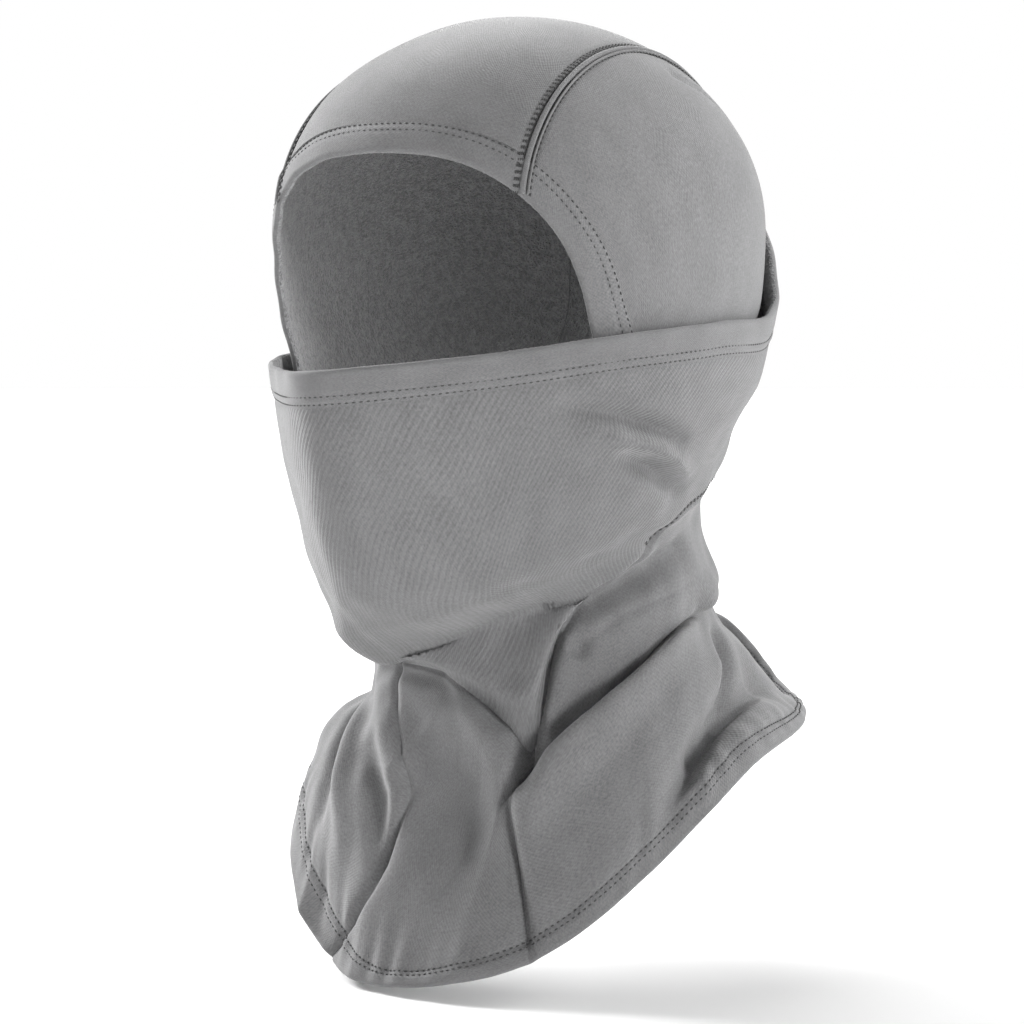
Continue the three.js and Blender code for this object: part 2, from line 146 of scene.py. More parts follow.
# Crown seam strips: part, mm towards the ear, width, height. They narrow over the front
# of the seam. Then the stitch rows beside them, in mm towards the ear.
CROWN_STRIPS = (("ridge", 0.0, 2.0, 1.6), ("edge", 1.9, 0.9, 1.2))
STRIP_SIDES = 10
STRIP_NARROWS = (0.72, 0.4)
STRIP_CLOTH = (0.6, 300)  # mm of cloth that one side and the whole length show
CROWN_ROWS = (-3.0, -2.3, -1.6, 2.8)
CROWN_ROW_LIFT = 0.15
# Height of each stitch row above its cloth, in mm, and where the neck seam's rows run:
# share from the seam, height.
HEM_ROW_LIFTS = (0.45, 0.0)
BIB_ROW_LIFTS = (0.3, 0.85)
NECK_ROWS = ((-0.016, 0.0), (-0.008, -0.35))
NECK_ROW_SPAN = (76, 284)

# Hood rings: height, centre y, half width, front reach, back reach.
HOOD_RINGS = (
    (-177, 5, 60, 70, 56), (-147, 2, 69, 84, 68), (-122, 0, 76, 92, 85),
    (-97, 0, 81, 96.5, 100), (-72.5, 0, 82, 98, 103), (0, 2.5, 82, 98, 102),
)
# Tube rings: share, centre y, half width, front, back, nose bump, sideways lean, then
# the height at 0, 30 ... 180 degrees from the front.
TUBE_RINGS = (
    (0.00, 0, 83, 100, 116, 24, 4, -124, -121, -115.5, -111, -104.5, -67, -55),
    (0.12, 0, 81, 97, 106, 24, 4, -145, -142, -136.5, -132, -126.5, -103, -92),
    (0.28, 0, 74, 91, 88, 20, 4, -175, -173, -165.5, -157, -146.5, -137, -133),
    (0.40, 2, 67, 87, 73, 12, 6, -199, -196, -188, -178, -167, -159, -156),
    (0.48, 6, 62, 80, 62, 4, 12, -210, -207, -199, -190, -180, -173, -171),
    (0.55, 12, 59, 60, 58, 0, 17, -218, -216, -211, -205, -198, -194, -192),
    (0.65, 13, 61, 61, 63, 0, 12, -235, -233, -229, -223, -217, -213, -211),
    (0.80, 9, 74.5, 72, 82, 0, 6, -271, -267, -254, -239, -231, -229, -225),
    (0.92, 11, 85, 85, 105, 0, 3, -311, -303, -277, -252, -246, -247, -237),
    (1.00, 12, 89.5, 95, 119, 0, 2, -334, -326, -296, -264, -254, -244, -218),
)
# The two seams down the front of the bib: share, degrees from the front.
FRONT_SEAM_LEFT = ((0.5, 30), (0.76, 30), (0.82, 25), (0.9, 28), (1, 32))
FRONT_SEAM_RIGHT = ((0.5, -34), (0.6, -28), (0.7, -20), (0.8, -9), (0.88, -11), (0.94, -19), (1, -29))
# Where the bib's panels start, under the mask: degrees from the front, share.
BIB_TOP = (
    (-180, 0.393), (-95, 0.393), (-66, 0.515), (-33, 0.545), (-7, 0.585), (9, 0.61), (22, 0.62),
    (34, 0.60), (46, 0.55), (60, 0.535), (79, 0.485), (90, 0.403), (100, 0.391), (180, 0.391),
)
# The seam between mask and bib: degrees from the front, share. It is hidden under the
# chin's overhang, and climbs to the nape on each side.
NECK_SEAM = (
    (-180, 0.405), (-95, 0.405), (-66, 0.53), (-33, 0.565), (-7, 0.61), (9, 0.665), (22, 0.718),
    (29, 0.752), (34, 0.69), (39, 0.61), (46, 0.57), (60, 0.55), (79, 0.497), (90, 0.415), (100, 0.403),
    (180, 0.403),
)

# Folds: kind, height in mm (minus is a valley), spread in mm, then the path as
# (degrees from the front, share down the tube). "soft" is a round ridge or hollow and
# "sharp" a crease. A "lap" stands up on one side of its path and hangs over the other:
# below the path where it is listed with rising degrees, above it where they fall. A
# "roll" does the same with a rounder edge.
FOLDS = (
    # cheek folds that run back to the nape
    ("soft", -5.5, 3.6, ((48, 0.12), (62, 0.16), (72, 0.195), (80, 0.235))),
    ("soft", 4.0, 3.4, ((60, 0.195), (74, 0.24), (86, 0.31))),
    ("soft", -5.5, 3.0, ((64, 0.235), (74, 0.28), (84, 0.345))),
    ("soft", 1.8, 5.0, ((52, 0.17), (62, 0.21))),
    # the hollow under the jaw, and the roll below it with its second crease
    ("soft", -6.5, 4.2, ((44, 0.585), (54, 0.572), (70, 0.562), (88, 0.54))),
    ("soft", 2.5, 3.0, ((46, 0.55), (60, 0.54), (76, 0.52))),
    ("soft", 4.5, 8.0, ((112, 0.585), (74, 0.605), (54, 0.63))),
    ("sharp", -1.6, 1.8, ((108, 0.59), (82, 0.60), (60, 0.61), (48, 0.63))),
    ("soft", 3.5, 7.0, ((106, 0.63), (75, 0.66), (56, 0.69))),
    ("soft", -4.0, 4.5, ((47, 0.62), (45, 0.655))),
    ("soft", -3.5, 4.0, ((42, 0.715), (37, 0.755))),
    ("soft", -4.0, 5.0, ((52, 0.705), (40, 0.735))),
    # the roll hangs over the folded-up side of the bib, which stands in front lower down
    ("lap", 6.5, 9.0, ((130, 0.607), (112, 0.633), (92, 0.663))),
    ("lap", 8.5, 11.0, ((18, 0.83), (31, 0.783), (45, 0.745), (62, 0.712), (80, 0.68), (98, 0.654))),
    ("sharp", -9.5, 1.7, ((22, 0.815), (31, 0.779), (45, 0.741), (62, 0.708), (80, 0.676), (104, 0.642),
                          (126, 0.611))),
    ("soft", -4.0, 7.0, ((34, 0.755), (48, 0.715), (66, 0.685), (84, 0.655))),
    # the chin's edge, which hangs over the throat, and its deep crease beside the roll
    ("roll", 6.0, 12.0, ((33, 0.745), (22, 0.69), (9, 0.635), (-7, 0.58), (-33, 0.54), (-62, 0.52))),
    ("soft", -5.0, 5.0, ((24, 0.735), (9, 0.672), (-7, 0.62), (-36, 0.575))),
    ("lap", 6.5, 9.0, ((54, 0.545), (44, 0.565), (37, 0.60), (33, 0.65), (31, 0.70), (30, 0.765))),
    ("sharp", -9.0, 1.7, ((48, 0.575), (40, 0.61), (35, 0.655), (33, 0.70), (32, 0.75))),
    ("soft", -7.0, 4.5, ((32, 0.735), (27, 0.78))),
    # hollows and ridges at the throat
    ("soft", -12.0, 4.0, ((26, 0.80), (30, 0.79), (34, 0.765))),
    ("soft", -19.0, 12.0, ((-12, 0.735), (0, 0.79), (12, 0.825), (20, 0.838))),
    ("soft", 6.0, 4.5, ((0, 0.63), (12, 0.70), (22, 0.765))),
    ("soft", 4.0, 8.0, ((-40, 0.62), (-20, 0.73), (-9, 0.79), (2, 0.88))),
    ("soft", -6.0, 4.2, ((-28, 0.74), (-18, 0.80), (-13, 0.86))),
    ("soft", 4.5, 5.0, ((-52, 0.68), (-38, 0.78), (-28, 0.86))),
    ("soft", -6.0, 5.0, ((-72, 0.66), (-54, 0.78), (-44, 0.86))),
    ("soft", 3.5, 9.0, ((-80, 0.78), (-64, 0.88))),
    # the pocket behind the bib's rear rim
    ("soft", -8.0, 4.5, ((74, 0.885), (86, 0.88), (97, 0.85), (104, 0.79), (106, 0.72))),
    ("soft", -20.0, 9.5, ((72, 0.912), (82, 0.90), (92, 0.89), (112, 0.865))),
    ("lap", 7.0, 8.0, ((66, 0.94), (80, 0.926), (92, 0.912), (116, 0.88))),
    ("sharp", -6.0, 2.0, ((77, 0.885), (75, 0.93))),
    # seams down the front of the bib
    ("sharp", -5.0, 1.3, ((23, 0.80), (26, 0.86), (30, 0.94), (33, 1.0))),
    ("sharp", -4.0, 1.3, ((-8, 0.79), (-10, 0.87), (-19, 0.94), (-29, 1.0))),
    # sag of the bottom edge, and the chin's corner
    ("soft", -7.0, 9.0, ((46, 1.0), (62, 1.0), (78, 1.0))),
    ("soft", -10.0, 16.0, ((-42, 0.99), (-14, 1.0))),
    ("soft", 2.5, 12.0, ((8, 0.99), (24, 1.0))),
    ("soft", 2.0, 8.0, ((-45, 0.50), (-20, 0.53))),
)


# Camera and lights: angles in degrees round the object from the front, metres.
VIEW_AZIMUTH = 33
VIEW_ELEVATION = 2.5
VIEW_DISTANCE = 1.2
VIEW_HEIGHT = -0.175
VIEW_ASIDE = 0.00324
VIEW_LENS = 117.19
FILL_STRENGTH = 0.25
SUNS = (
    ("left rim", -98, 30, 5.0, 25), ("right rim", 146, 32, 2.6, 25), ("top", -135, 52, 1.7, 35),
    ("front", 78, 7, 2.0, 15), ("low left", -50, 6, 0.8, 20),
)
# A small fill light inside the hood, behind the face opening: place, radius, watts.
OPENING_LIGHT = ((0.0, -0.035, -0.10), 0.012, 0.12)


def mix(a, b, t):
    return a + (b - a) * t


def smooth(x):
    t = np.clip(x, 0, 1)
    return t * t * (3 - 2 * t)


def through(table, column):
    """A smooth curve through one column of a table, against its first column."""
    xs = np.array([row[0] for row in table], float)
    ys = np.array([row[column] for row in table], float)
    slopes = np.diff(ys) / np.diff(xs)
    before, after = slopes[:-1], slopes[1:]
    same_way = before * after > 0
    total = np.where(same_way, before + after, 1)
    inner = np.where(same_way, 2 * before * after / total, 0)
    grads = np.concatenate([slopes[:1], inner, slopes[-1:]])

    def curve(x):
        x = np.asarray(x, float)
        i = np.clip(np.searchsorted(xs, x, side="right") - 1, 0, len(xs) - 2)
        h = xs[i + 1] - xs[i]
        t = np.clip((x - xs[i]) / h, 0, 1)
        u = 1 - t
        ends = ys[i] * (1 + 2 * t) * u * u + ys[i + 1] * (3 - 2 * t) * t * t
        return ends + h * (grads[i] * t * u * u - grads[i + 1] * t * t * u)

    return curve


def wrap_angle(a):
    return a - 2 * math.pi * np.round(a / (2 * math.pi))


def around_ring(heights, theta):
    """Height at an angle from seven values at 0, 30 ... 180 degrees, alike on both sides."""
    a = np.abs(wrap_angle(theta)) / (30 * DEG)
    i = np.minimum(5, np.floor(a)).astype(int)
    t = a - i
    heights = np.stack(heights)

    def at(k):
        k = np.abs(k)
        k = np.where(k > 6, 12 - k, k)
        return np.take_along_axis(heights, k[None], 0)[0]

    p, q, r, s = at(i - 1), at(i), at(i + 1), at(i + 2)
    return q + 0.5 * t * (r - p + t * (2 * p - 5 * q + 4 * r - s + t * (3 * (q - r) + s - p)))


TUBE_COLUMNS = [through(TUBE_RINGS, c) for c in range(1, 14)]
HOOD_CENTRE, HOOD_HALF, HOOD_FORE, HOOD_AFT = (through(HOOD_RINGS, c) for c in range(1, 5))
SEAM_LEFT = through(FRONT_SEAM_LEFT, 1)
SEAM_RIGHT = through(FRONT_SEAM_RIGHT, 1)
NECK_LINE = through(NECK_SEAM, 1)
BIB_LINE = through(BIB_TOP, 1)


def near_path(degrees, share, path):
    """Distance to a fold's path in mm, its side, how far along it is, and the way across it."""
    here = path[0][0] + wrap_angle((degrees - path[0][0]) * DEG) / DEG
    gap = np.full(np.shape(here), np.inf)
    side = np.zeros_like(gap)
    along = np.zeros_like(gap)
    toward = [np.zeros_like(gap), np.zeros_like(gap)]
    for i, (a, b) in enumerate(zip(path[:-1], path[1:])):
        ax, ay = (a[0] - here) * MM_PER_DEGREE, (a[1] - share) * MM_PER_SHARE
        dx, dy = (b[0] - a[0]) * MM_PER_DEGREE, (b[1] - a[1]) * MM_PER_SHARE
        t = np.clip(-(ax * dx + ay * dy) / (dx * dx + dy * dy), 0, 1)
        d = np.hypot(ax + dx * t, ay + dy * t)
        nearer = d < gap
        gap = np.where(nearer, d, gap)
        side = np.where(nearer, np.sign(ax * dy - ay * dx), side)
        along = np.where(nearer, (i + t) / (len(path) - 1), along)
        size = math.hypot(dx, dy)
        toward = [np.where(nearer, dy / size, toward[0]), np.where(nearer, -dx / size, toward[1])]
    return gap, side, along, toward


def fold_moves(theta, share):
    """How far the folds move each point, in mm: outwards, round the tube and down it."""
    out = np.zeros(np.shape(theta))
    around = np.zeros_like(out)
    down = np.zeros_like(out)
    for kind, height, spread, path in FOLDS:
        gap, side, along, toward = near_path(theta / DEG, share, path)
        fade = mix(FOLD_END, 1, np.sin(math.pi * along))
        if kind == "soft":
            out += height * fade * np.exp(-(gap / spread) ** 2)
        elif kind == "sharp":
            out += height * fade * np.exp(-np.sqrt(gap * gap + CREASE_ROUND) / spread)
        else:
            signed = gap * side
            step = LAP_STEP if kind == "lap" else ROLL_STEP
            lip = smooth(np.minimum(along, 1 - along) / LIP_FADE)
            lip = lip * 0.5 * (1 + np.tanh(signed / step))
            lip = lip * np.exp(-(np.maximum(signed, 0) / spread) ** 2)
            out += height * lip
            around += LAP_REACH * height * lip * toward[0]
            down += LAP_REACH * height * lip * toward[1]
    out = DEEPEST * np.tanh(out / DEEPEST)
    return out, around, down


def tube_base(theta, share):
    theta, share = np.broadcast_arrays(np.asarray(theta, float), np.asarray(share, float))
    centre, half, front, back, nose, lean, *heights = (f(share) for f in TUBE_COLUMNS)
    a = wrap_angle(theta)
    c, s = np.cos(a), np.sin(a)
    bump = nose * np.exp(-(a / (NOSE_SPREAD * DEG)) ** 2)
    y = centre - np.where(c > 0, front, back) * c - bump
    return np.stack([half * s, y, around_ring(heights, a) + lean * s], -1)


def unit(v):
    return v / np.maximum(np.linalg.norm(v, axis=-1, keepdims=True), 1e-9)


def tube_axes(theta, share):
    """Unit vectors at a point of the tube: outwards, round it and down it."""
    d = 0.004
    around = unit(tube_base(theta + d, share) - tube_base(theta - d, share))
    down = unit(tube_base(theta, np.minimum(1, share + d)) - tube_base(theta, np.maximum(0, share - d)))
    return unit(np.cross(down, around)), around, down


def tube(theta, share, lift=0.0):
    """Points on the draped outer tube, lift mm outside it, and the way out at each."""
    normal, around, down = tube_axes(theta, share)
    out, over, fall = fold_moves(theta, share)
    moved = tube_base(theta, share) + normal * (out + lift)[..., None]
    return moved + around * over[..., None] + down * fall[..., None], normal


def hood(theta, z):
    theta, z = np.broadcast_arrays(np.asarray(theta, float), np.asarray(z, float))
    up = np.maximum(0, (z - WIDE_Z) / HOOD_RISE)
    q = np.sqrt(np.maximum(0, 1 - up * up))
    c = np.cos(theta)
    reach = np.where(c > 0, HOOD_FORE(z), HOOD_AFT(z))
    return np.stack([HOOD_HALF(z) * np.sin(theta) * q, HOOD_CENTRE(z) - reach * c * q, z], -1)


def dome(x, beta):
    cos_a = np.sqrt(1 - (x / HOOD_HALF_WIDTH) ** 2)
    z = WIDE_Z + HOOD_RISE * cos_a * np.sin(beta)
    c = np.cos(beta)
    y = HOOD_CENTRE(z) - np.where(c > 0, HOOD_FRONT, HOOD_BACK) * cos_a * c
    return np.stack(np.broadcast_arrays(x, y, z), -1)


def hood_normal(p):
    x, y, z = p[..., 0], p[..., 1] - HOOD_CENTRE(p[..., 2]), p[..., 2]
    b = np.where(y < 0, HOOD_FORE(z), HOOD_AFT(z))
    up = np.maximum(0, z - WIDE_Z) / HOOD_RISE ** 2
    return unit(np.stack([x / HOOD_HALF(z) ** 2, y / b ** 2, up], -1))


def onto_hood(p):
    """Moves points near the hood onto it."""
    centre = HOOD_CENTRE(p[..., 2])
    b = np.where(p[..., 1] < centre, HOOD_FORE(p[..., 2]), HOOD_AFT(p[..., 2]))
    dx = p[..., 0] / HOOD_HALF(p[..., 2])
    dy = (p[..., 1] - centre) / b
    dz = (p[..., 2] - WIDE_Z) / HOOD_RISE
    e = np.sqrt(dx * dx + dy * dy + dz * dz)
    over = np.stack([p[..., 0] / e, centre + (p[..., 1] - centre) / e,
                     WIDE_Z + (p[..., 2] - WIDE_Z) / e], -1)
    under = hood(np.arctan2(dx, -dy), p[..., 2])
    return np.where((dz > 0)[..., None], over, under)


# ---- face opening --------------------------------------------------------------------
ARCH_POWER = 2 / EYE_POWER


def face_edge(phi, w):
    """The face hem: phi 0 is its top, 90 degrees its widest level; w 0 inner, 1 outer."""
    a = EYE_HALF + FACE_HEM[0] * w
    c = EYE_RISE + FACE_HEM[1] * w
    x = a * np.abs(np.sin(phi)) ** ARCH_POWER
    z = EYE_Z + c * np.maximum(0, np.cos(phi)) ** ARCH_POWER
    q = np.sqrt(1 - np.maximum(0, (z - WIDE_Z) / HOOD_RISE) ** 2)
    s = np.minimum(1, x / (HOOD_HALF(z) * q))
    return hood(np.arcsin(s) * np.where(phi < 0, -1, 1), z)


def face_side(z, w, side):
    return hood(np.arcsin((EYE_HALF + FACE_HEM[0] * w) / HOOD_HALF(EYE_Z)) * side, z)


def seam_phi(x, w):
    return np.arcsin((x / (EYE_HALF + FACE_HEM[0] * w)) ** (1 / ARCH_POWER))


def crown_line(x, t):
    """The crown seam's line: t 0 at the face hem, 1 at the nape."""
    x, t = np.broadcast_arrays(np.asarray(x, float), np.asarray(t, float))
    edge = face_edge(np.where(x < 0, -1, 1) * seam_phi(np.abs(x), PANEL_START), PANEL_START)
    cos_a = np.sqrt(1 - (x / HOOD_HALF_WIDTH) ** 2)
    start = np.arcsin((edge[..., 2] - WIDE_Z) / (HOOD_RISE * cos_a))
    narrow = x * mix(1, CROWN_END_HALF / CROWN_HALF, smooth(t))
    over = dome(narrow, mix(start, math.pi, np.minimum(1, t / CROWN_TURN)))
    z = mix(WIDE_Z, HOOD_END_Z, np.clip((t - CROWN_TURN) / (1 - CROWN_TURN), 0, 1))
    under = hood(math.pi - np.arcsin(narrow / HOOD_HALF(z)), z)
    return np.where((t > CROWN_TURN)[..., None], under, over)


def neck_seam(theta):
    """Share at which the neck seam runs."""
    return NECK_LINE(wrap_angle(theta) / DEG)


def bib_hem_line(theta):
    return BIB_HEM_SHARE - BIB_HEM_RISE * np.sin(theta) ** 2


# ---- meshes --------------------------------------------------------------------------
def new_object(name, points, faces, uvs, inner_from=None):
    """A mesh object in metres, with the uv map Cloth, and material 1 on its inner faces."""
    mesh = bpy.data.meshes.new(name)
    mesh.from_pydata((points * MM).tolist(), [], faces)
    layer = mesh.uv_layers.new(name="Cloth")
    layer.data.foreach_set("uv", np.asarray(uvs, np.float32).ravel())
    if inner_from is not None:
        index = np.zeros(len(faces), np.int32)
        index[inner_from[0]:inner_from[1]] = 1
        mesh.polygons.foreach_set("material_index", index)
    mesh.polygons.foreach_set("use_smooth", np.ones(len(faces), bool))
    mesh.update()
    obj = bpy.data.objects.new(name, mesh)
    bpy.context.scene.collection.objects.link(obj)
    return obj


def closed_sheet(name, outer, normal, depth, cloth, ring=False):
    """A closed sheet from a grid of outer points, their normals and the depth to the inner side.
    cloth is the width and length in mm that the uv map spans."""
    rows, cols = outer.shape[0], outer.shape[1]
    inner = outer - normal * depth[..., None]
    points = np.concatenate([outer.reshape(-1, 3), inner.reshape(-1, 3)])
    total = rows * cols
    cells = cols if ring else cols - 1
    j, i = np.meshgrid(np.arange(rows - 1), np.arange(cells), indexing="ij")
    j, i = j.ravel(), i.ravel()
    k = (i + 1) % cols
    a, b, c, d = i + cols * j, k + cols * j, k + cols * (j + 1), i + cols * (j + 1)
    front = np.stack([a, d, c, b], -1)
    back = np.stack([a, b, c, d], -1) + total
    u0, u1, v0, v1 = i / cells, (i + 1) / cells, j / (rows - 1), (j + 1) / (rows - 1)
    uv_front = np.stack([u0, v0, u0, v1, u1, v1, u1, v0], -1).reshape(-1, 4, 2)
    uv_back = np.stack([u0, v0, u1, v0, u1, v1, u0, v1], -1).reshape(-1, 4, 2)
    r = np.arange(cells)
    r1 = (r + 1) % cols
    last = cols * (rows - 1)
    sides = [np.stack([r, r1, r1 + total, r + total], -1),
             np.stack([r + last, r + last + total, r1 + last + total, r1 + last], -1)]
    uv_sides = [np.stack([r / cells, r * 0, (r + 1) / cells, r * 0, (r + 1) / cells, r * 0,
                          r / cells, r * 0], -1).reshape(-1, 4, 2),
                np.stack([r / cells, r * 0 + 1, r / cells, r * 0 + 1, (r + 1) / cells, r * 0 + 1,
                          (r + 1) / cells, r * 0 + 1], -1).reshape(-1, 4, 2)]
    if not ring:
        q = np.arange(rows - 1) * cols
        e = q + cols - 1
        sides += [np.stack([q, q + total, q + cols + total, q + cols], -1),
                  np.stack([e, e + cols, e + cols + total, e + total], -1)]
        w0, w1 = np.arange(rows - 1) / (rows - 1), np.arange(1, rows) / (rows - 1)
        uv_sides += [np.stack([w0 * 0, w0, w0 * 0, w0, w0 * 0, w1, w0 * 0, w1], -1).reshape(-1, 4, 2),
                     np.stack([w0 * 0 + 1, w0, w0 * 0 + 1, w1, w0 * 0 + 1, w1, w0 * 0 + 1, w0],
                              -1).reshape(-1, 4, 2)]
    faces = np.concatenate([front, back, *sides])
    uvs = np.concatenate([uv_front, uv_back, *uv_sides]) * np.array(cloth) * MM
    obj = new_object(name, points, faces.tolist(), uvs, (len(front), len(front) + len(back)))
    if outward_volume(obj) < 0:
        obj.data.flip_normals()
    obj.data.set_sharp_from_angle(angle=SHARP_ANGLE * DEG)
    return obj


def outward_volume(obj):
    """Six times the mesh's volume, below nought where its faces look inwards."""
    mesh = obj.data
    mesh.calc_loop_triangles()
    co = np.empty(len(mesh.vertices) * 3)
    mesh.vertices.foreach_get("co", co)
    tri = np.empty(len(mesh.loop_triangles) * 3, np.int32)
    mesh.loop_triangles.foreach_get("vertices", tri)
    p = co.reshape(-1, 3)[tri].reshape(-1, 3, 3)
    return np.einsum("ij,ij->i", p[:, 0], np.cross(p[:, 1], p[:, 2])).sum()


def grid(nu, nv, ring=False):
    u = np.arange(nu) / nu if ring else np.linspace(0, 1, nu + 1)
    return np.meshgrid(u, np.linspace(0, 1, nv + 1))


def edge_distances(points, ring):
    """Cloth distance in mm from each point to the left, right, top and bottom edges."""
    across = np.linalg.norm(np.diff(points, axis=1), axis=-1)
    down = np.linalg.norm(np.diff(points, axis=0), axis=-1)
    left = np.pad(np.cumsum(across, 1), ((0, 0), (1, 0)))
    top = np.pad(np.cumsum(down, 0), ((1, 0), (0, 0)))
    far = np.full(points.shape[:2], 1e3)
    right = left[:, -1:] - left
    return (far, far) + (top, top[-1:] - top) if ring else (left, right, top, top[-1:] - top)


def lay(name, points, normal, thick, lift=0.0, ring=False, seams="", folds="", flush="", tucks="",
        wave=0.0):
    """A sheet of knit lifted off its base surface.
    seams, folds, flush and tucks name the edges (l, r, t, b) that dip into a seam, that
    are rounded over a fold, that come down level with the panel beside them, and that
    slip under the hem beside them."""
    edge = dict(zip("lrtb", edge_distances(points, ring)))
    out = np.full(points.shape[:2], float(lift)) + wave
    depth = np.full(points.shape[:2], float(thick))
    for key in flush:
        out -= lift * (1 - smooth(edge[key] / FLUSH_WIDTH))
        depth -= (thick - FABRIC) * (1 - smooth(edge[key] / FLUSH_WIDTH))
    for key in seams:
        close = np.exp(-(edge[key] / SEAM_WIDTH) ** 2)
        out -= SEAM_DIP * close
        depth -= SEAM_THINNING * FABRIC * close
    for key in tucks:
        out -= HEM_TUCK_DEEP * np.exp(-(edge[key] / TUCK_WIDTH) ** 2)
    for key in folds:
        e = np.clip(1 - edge[key] / FOLD_RADIUS, 0, 1)
        drawn = (thick / 2 - EDGE_LEFT) * (1 - np.sqrt(1 - e * e))
        out -= drawn
        depth -= 2 * drawn
    cloth = (edge["l"] + edge["r"])[0, 0], (edge["t"] + edge["b"])[0, 0]
    if ring:
        cloth = np.linalg.norm(points - np.roll(points, 1, 1), axis=-1).sum(1).mean(), cloth[1]
    return closed_sheet(name, points + normal * out[..., None], normal, depth, cloth, ring)


# ---- the hood ------------------------------------------------------------------------
def hood_wave(p, seed):
    """Slow unevenness of worn knit, in mm."""
    a = np.sin(p[..., 0] / 17 + seed) * np.sin(p[..., 1] / 23 + 2 * seed)
    b = np.sin(p[..., 1] / 11 + p[..., 2] / 15 + seed) * np.sin(p[..., 0] / 13 - seed)
    return 0.45 * a + 0.3 * b


def crown_panel():
    half = CROWN_HALF - SEAM_GAP / 2
    u, v = grid(*CROWN_CELLS)
    points = crown_line(mix(-half, half, u) + NUDGE, v)
    normal = hood_normal(points)
    return lay("crown_panel_knit", points, normal, FABRIC, seams="lr", wave=hood_wave(points, 1.0))


def side_points(side, u, v):
    """The side panel of the hood, filled in from its four edges."""
    x = (CROWN_HALF + SEAM_GAP / 2) * side
    phi = seam_phi(abs(x), PANEL_START)
    bend = 0.5

    def front(v):
        arch = face_edge(side * mix(phi, math.pi / 2, np.minimum(1, v / bend)), PANEL_START)
        k = np.clip((v - bend) / (1 - bend), 0, 1)
        straight = face_side(mix(EYE_Z, HOOD_END_Z, k), PANEL_START, side)
        return np.where((v > bend)[..., None], straight, arch)

    def top(u):
        return crown_line(x, u * CROWN_TURN)

    def back(v):
        return crown_line(x, mix(CROWN_TURN, 1, v))

    def angle(p):
        return np.arctan2(p[..., 0] / HOOD_HALF(p[..., 2]), -(p[..., 1] - HOOD_CENTRE(p[..., 2]))
                          / HOOD_AFT(p[..., 2]))

    one = np.ones_like(u)
    low = front(one)
    base = np.full_like(u, HOOD_END_Z)
    foot = mix(np.arcsin(low[..., 0] / HOOD_HALF(base)), angle(back(one)), u)
    bottom, bottom_end = hood(foot, base), hood(angle(back(one)), base)
    u, v = u[..., None], v[..., None]
    edges = front(v[..., 0]) * (1 - u) + back(v[..., 0]) * u + top(u[..., 0]) * (1 - v) + bottom * v
    zero = np.zeros_like(one)
    corners = (front(zero) * (1 - u) * (1 - v) + top(one) * u * (1 - v)
               + low * (1 - u) * v + bottom_end * u * v)
    return onto_hood(edges - corners)


def near_line(points, line):
    """Distance in mm from each point to a line of points in space."""
    best = np.full(points.shape[:2], 1e3)
    for a, b in zip(line[:-1], line[1:]):
        a, b = np.array(a, float), np.array(b, float)
        t = np.clip(((points - a) @ (b - a)) / ((b - a) @ (b - a)), 0, 1)
        best = np.minimum(best, np.linalg.norm(points - a - t[..., None] * (b - a), axis=-1))
    return best


def side_panel(name, side):
    u, v = grid(*SIDE_CELLS)
    points = side_points(side, u, v)
    wave = hood_wave(points, 2.0 + side)
    if side > 0:
        wave = wave - PLEAT_DEEP * np.exp(-(near_line(points, PLEAT) / PLEAT_WIDE) ** 2)
    return lay(name, points, hood_normal(points), FABRIC, seams="t", wave=wave)


def face_hem(name, points, far):
    wave = FACE_HEM_RIPPLE * np.sin(points[..., 0] / 3.7 + points[..., 2] / 2.9)
    row = sum(np.exp(-((far - w) / HEM_ROW_WIDE) ** 2) for w in FACE_ROWS)
    wave = wave * (1 - far) - HEM_ROW_DIP * row
    return lay(name, points, hood_normal(points), HEM_THICK, HEM_LIFT, folds="t", flush="b", wave=wave)


def face_hems():
    """The folded edge of the face opening: over the brow, and down each side."""
    u, w = grid(*BROW_HEM_CELLS)
    w = w ** FACE_HEM_BUNCH
    phi = seam_phi(CROWN_HALF, w * PANEL_START)
    top = face_hem("face_hem_top_fold", face_edge(mix(-phi, phi, u) + NUDGE, w * PANEL_START), w)
    made = [top]
    for name, side in (("face_hem_left_fold", 1), ("face_hem_right_fold", -1)):
        u, w = grid(*SIDE_HEM_CELLS)
        w = w ** FACE_HEM_BUNCH
        bend = 0.55
        arch = face_edge(side * mix(seam_phi(CROWN_HALF, w * PANEL_START), math.pi / 2,
                                    np.minimum(1, u / bend)), w * PANEL_START)
        k = np.clip((u - bend) / (1 - bend), 0, 1)
        straight = face_side(mix(EYE_Z, HOOD_END_Z, k), w * PANEL_START, side)
        made.append(face_hem(name, np.where((u > bend)[..., None], straight, arch), w))
    return made


# ---- the outer tube ------------------------------------------------------------------
def tube_grid(u, v, start, stop, top, bottom):
    """Angle and share over a piece between two angle lines and two share lines."""
    share = np.full_like(u, 0.5)
    for _ in range(5):
        theta = mix(start(share), stop(share), u) * DEG
        share = mix(top(theta), bottom(theta), v)
    return theta, share


def hem_line(theta):
    """Share at which the bib's hem starts; the hem is deeper on the wearer's right."""
    a = wrap_angle(theta) / DEG
    deep = smooth(-a / 40) * smooth((a + 180) / 60)
    return bib_hem_line(theta) - FAR_HEM_EXTRA * deep


def pucker(theta, share):
    """Small gathers in the bib just above its hem, in mm."""
    close = np.exp(-((hem_line(theta) - share) * MM_PER_SHARE / PUCKER_REACH) ** 2)
    beat = np.sin(theta * PUCKER_COUNT + 1.7 * np.sin(5 * theta)) + 0.5 * np.sin(theta * 67 + 1)
    return PUCKER_HEIGHT * close * beat


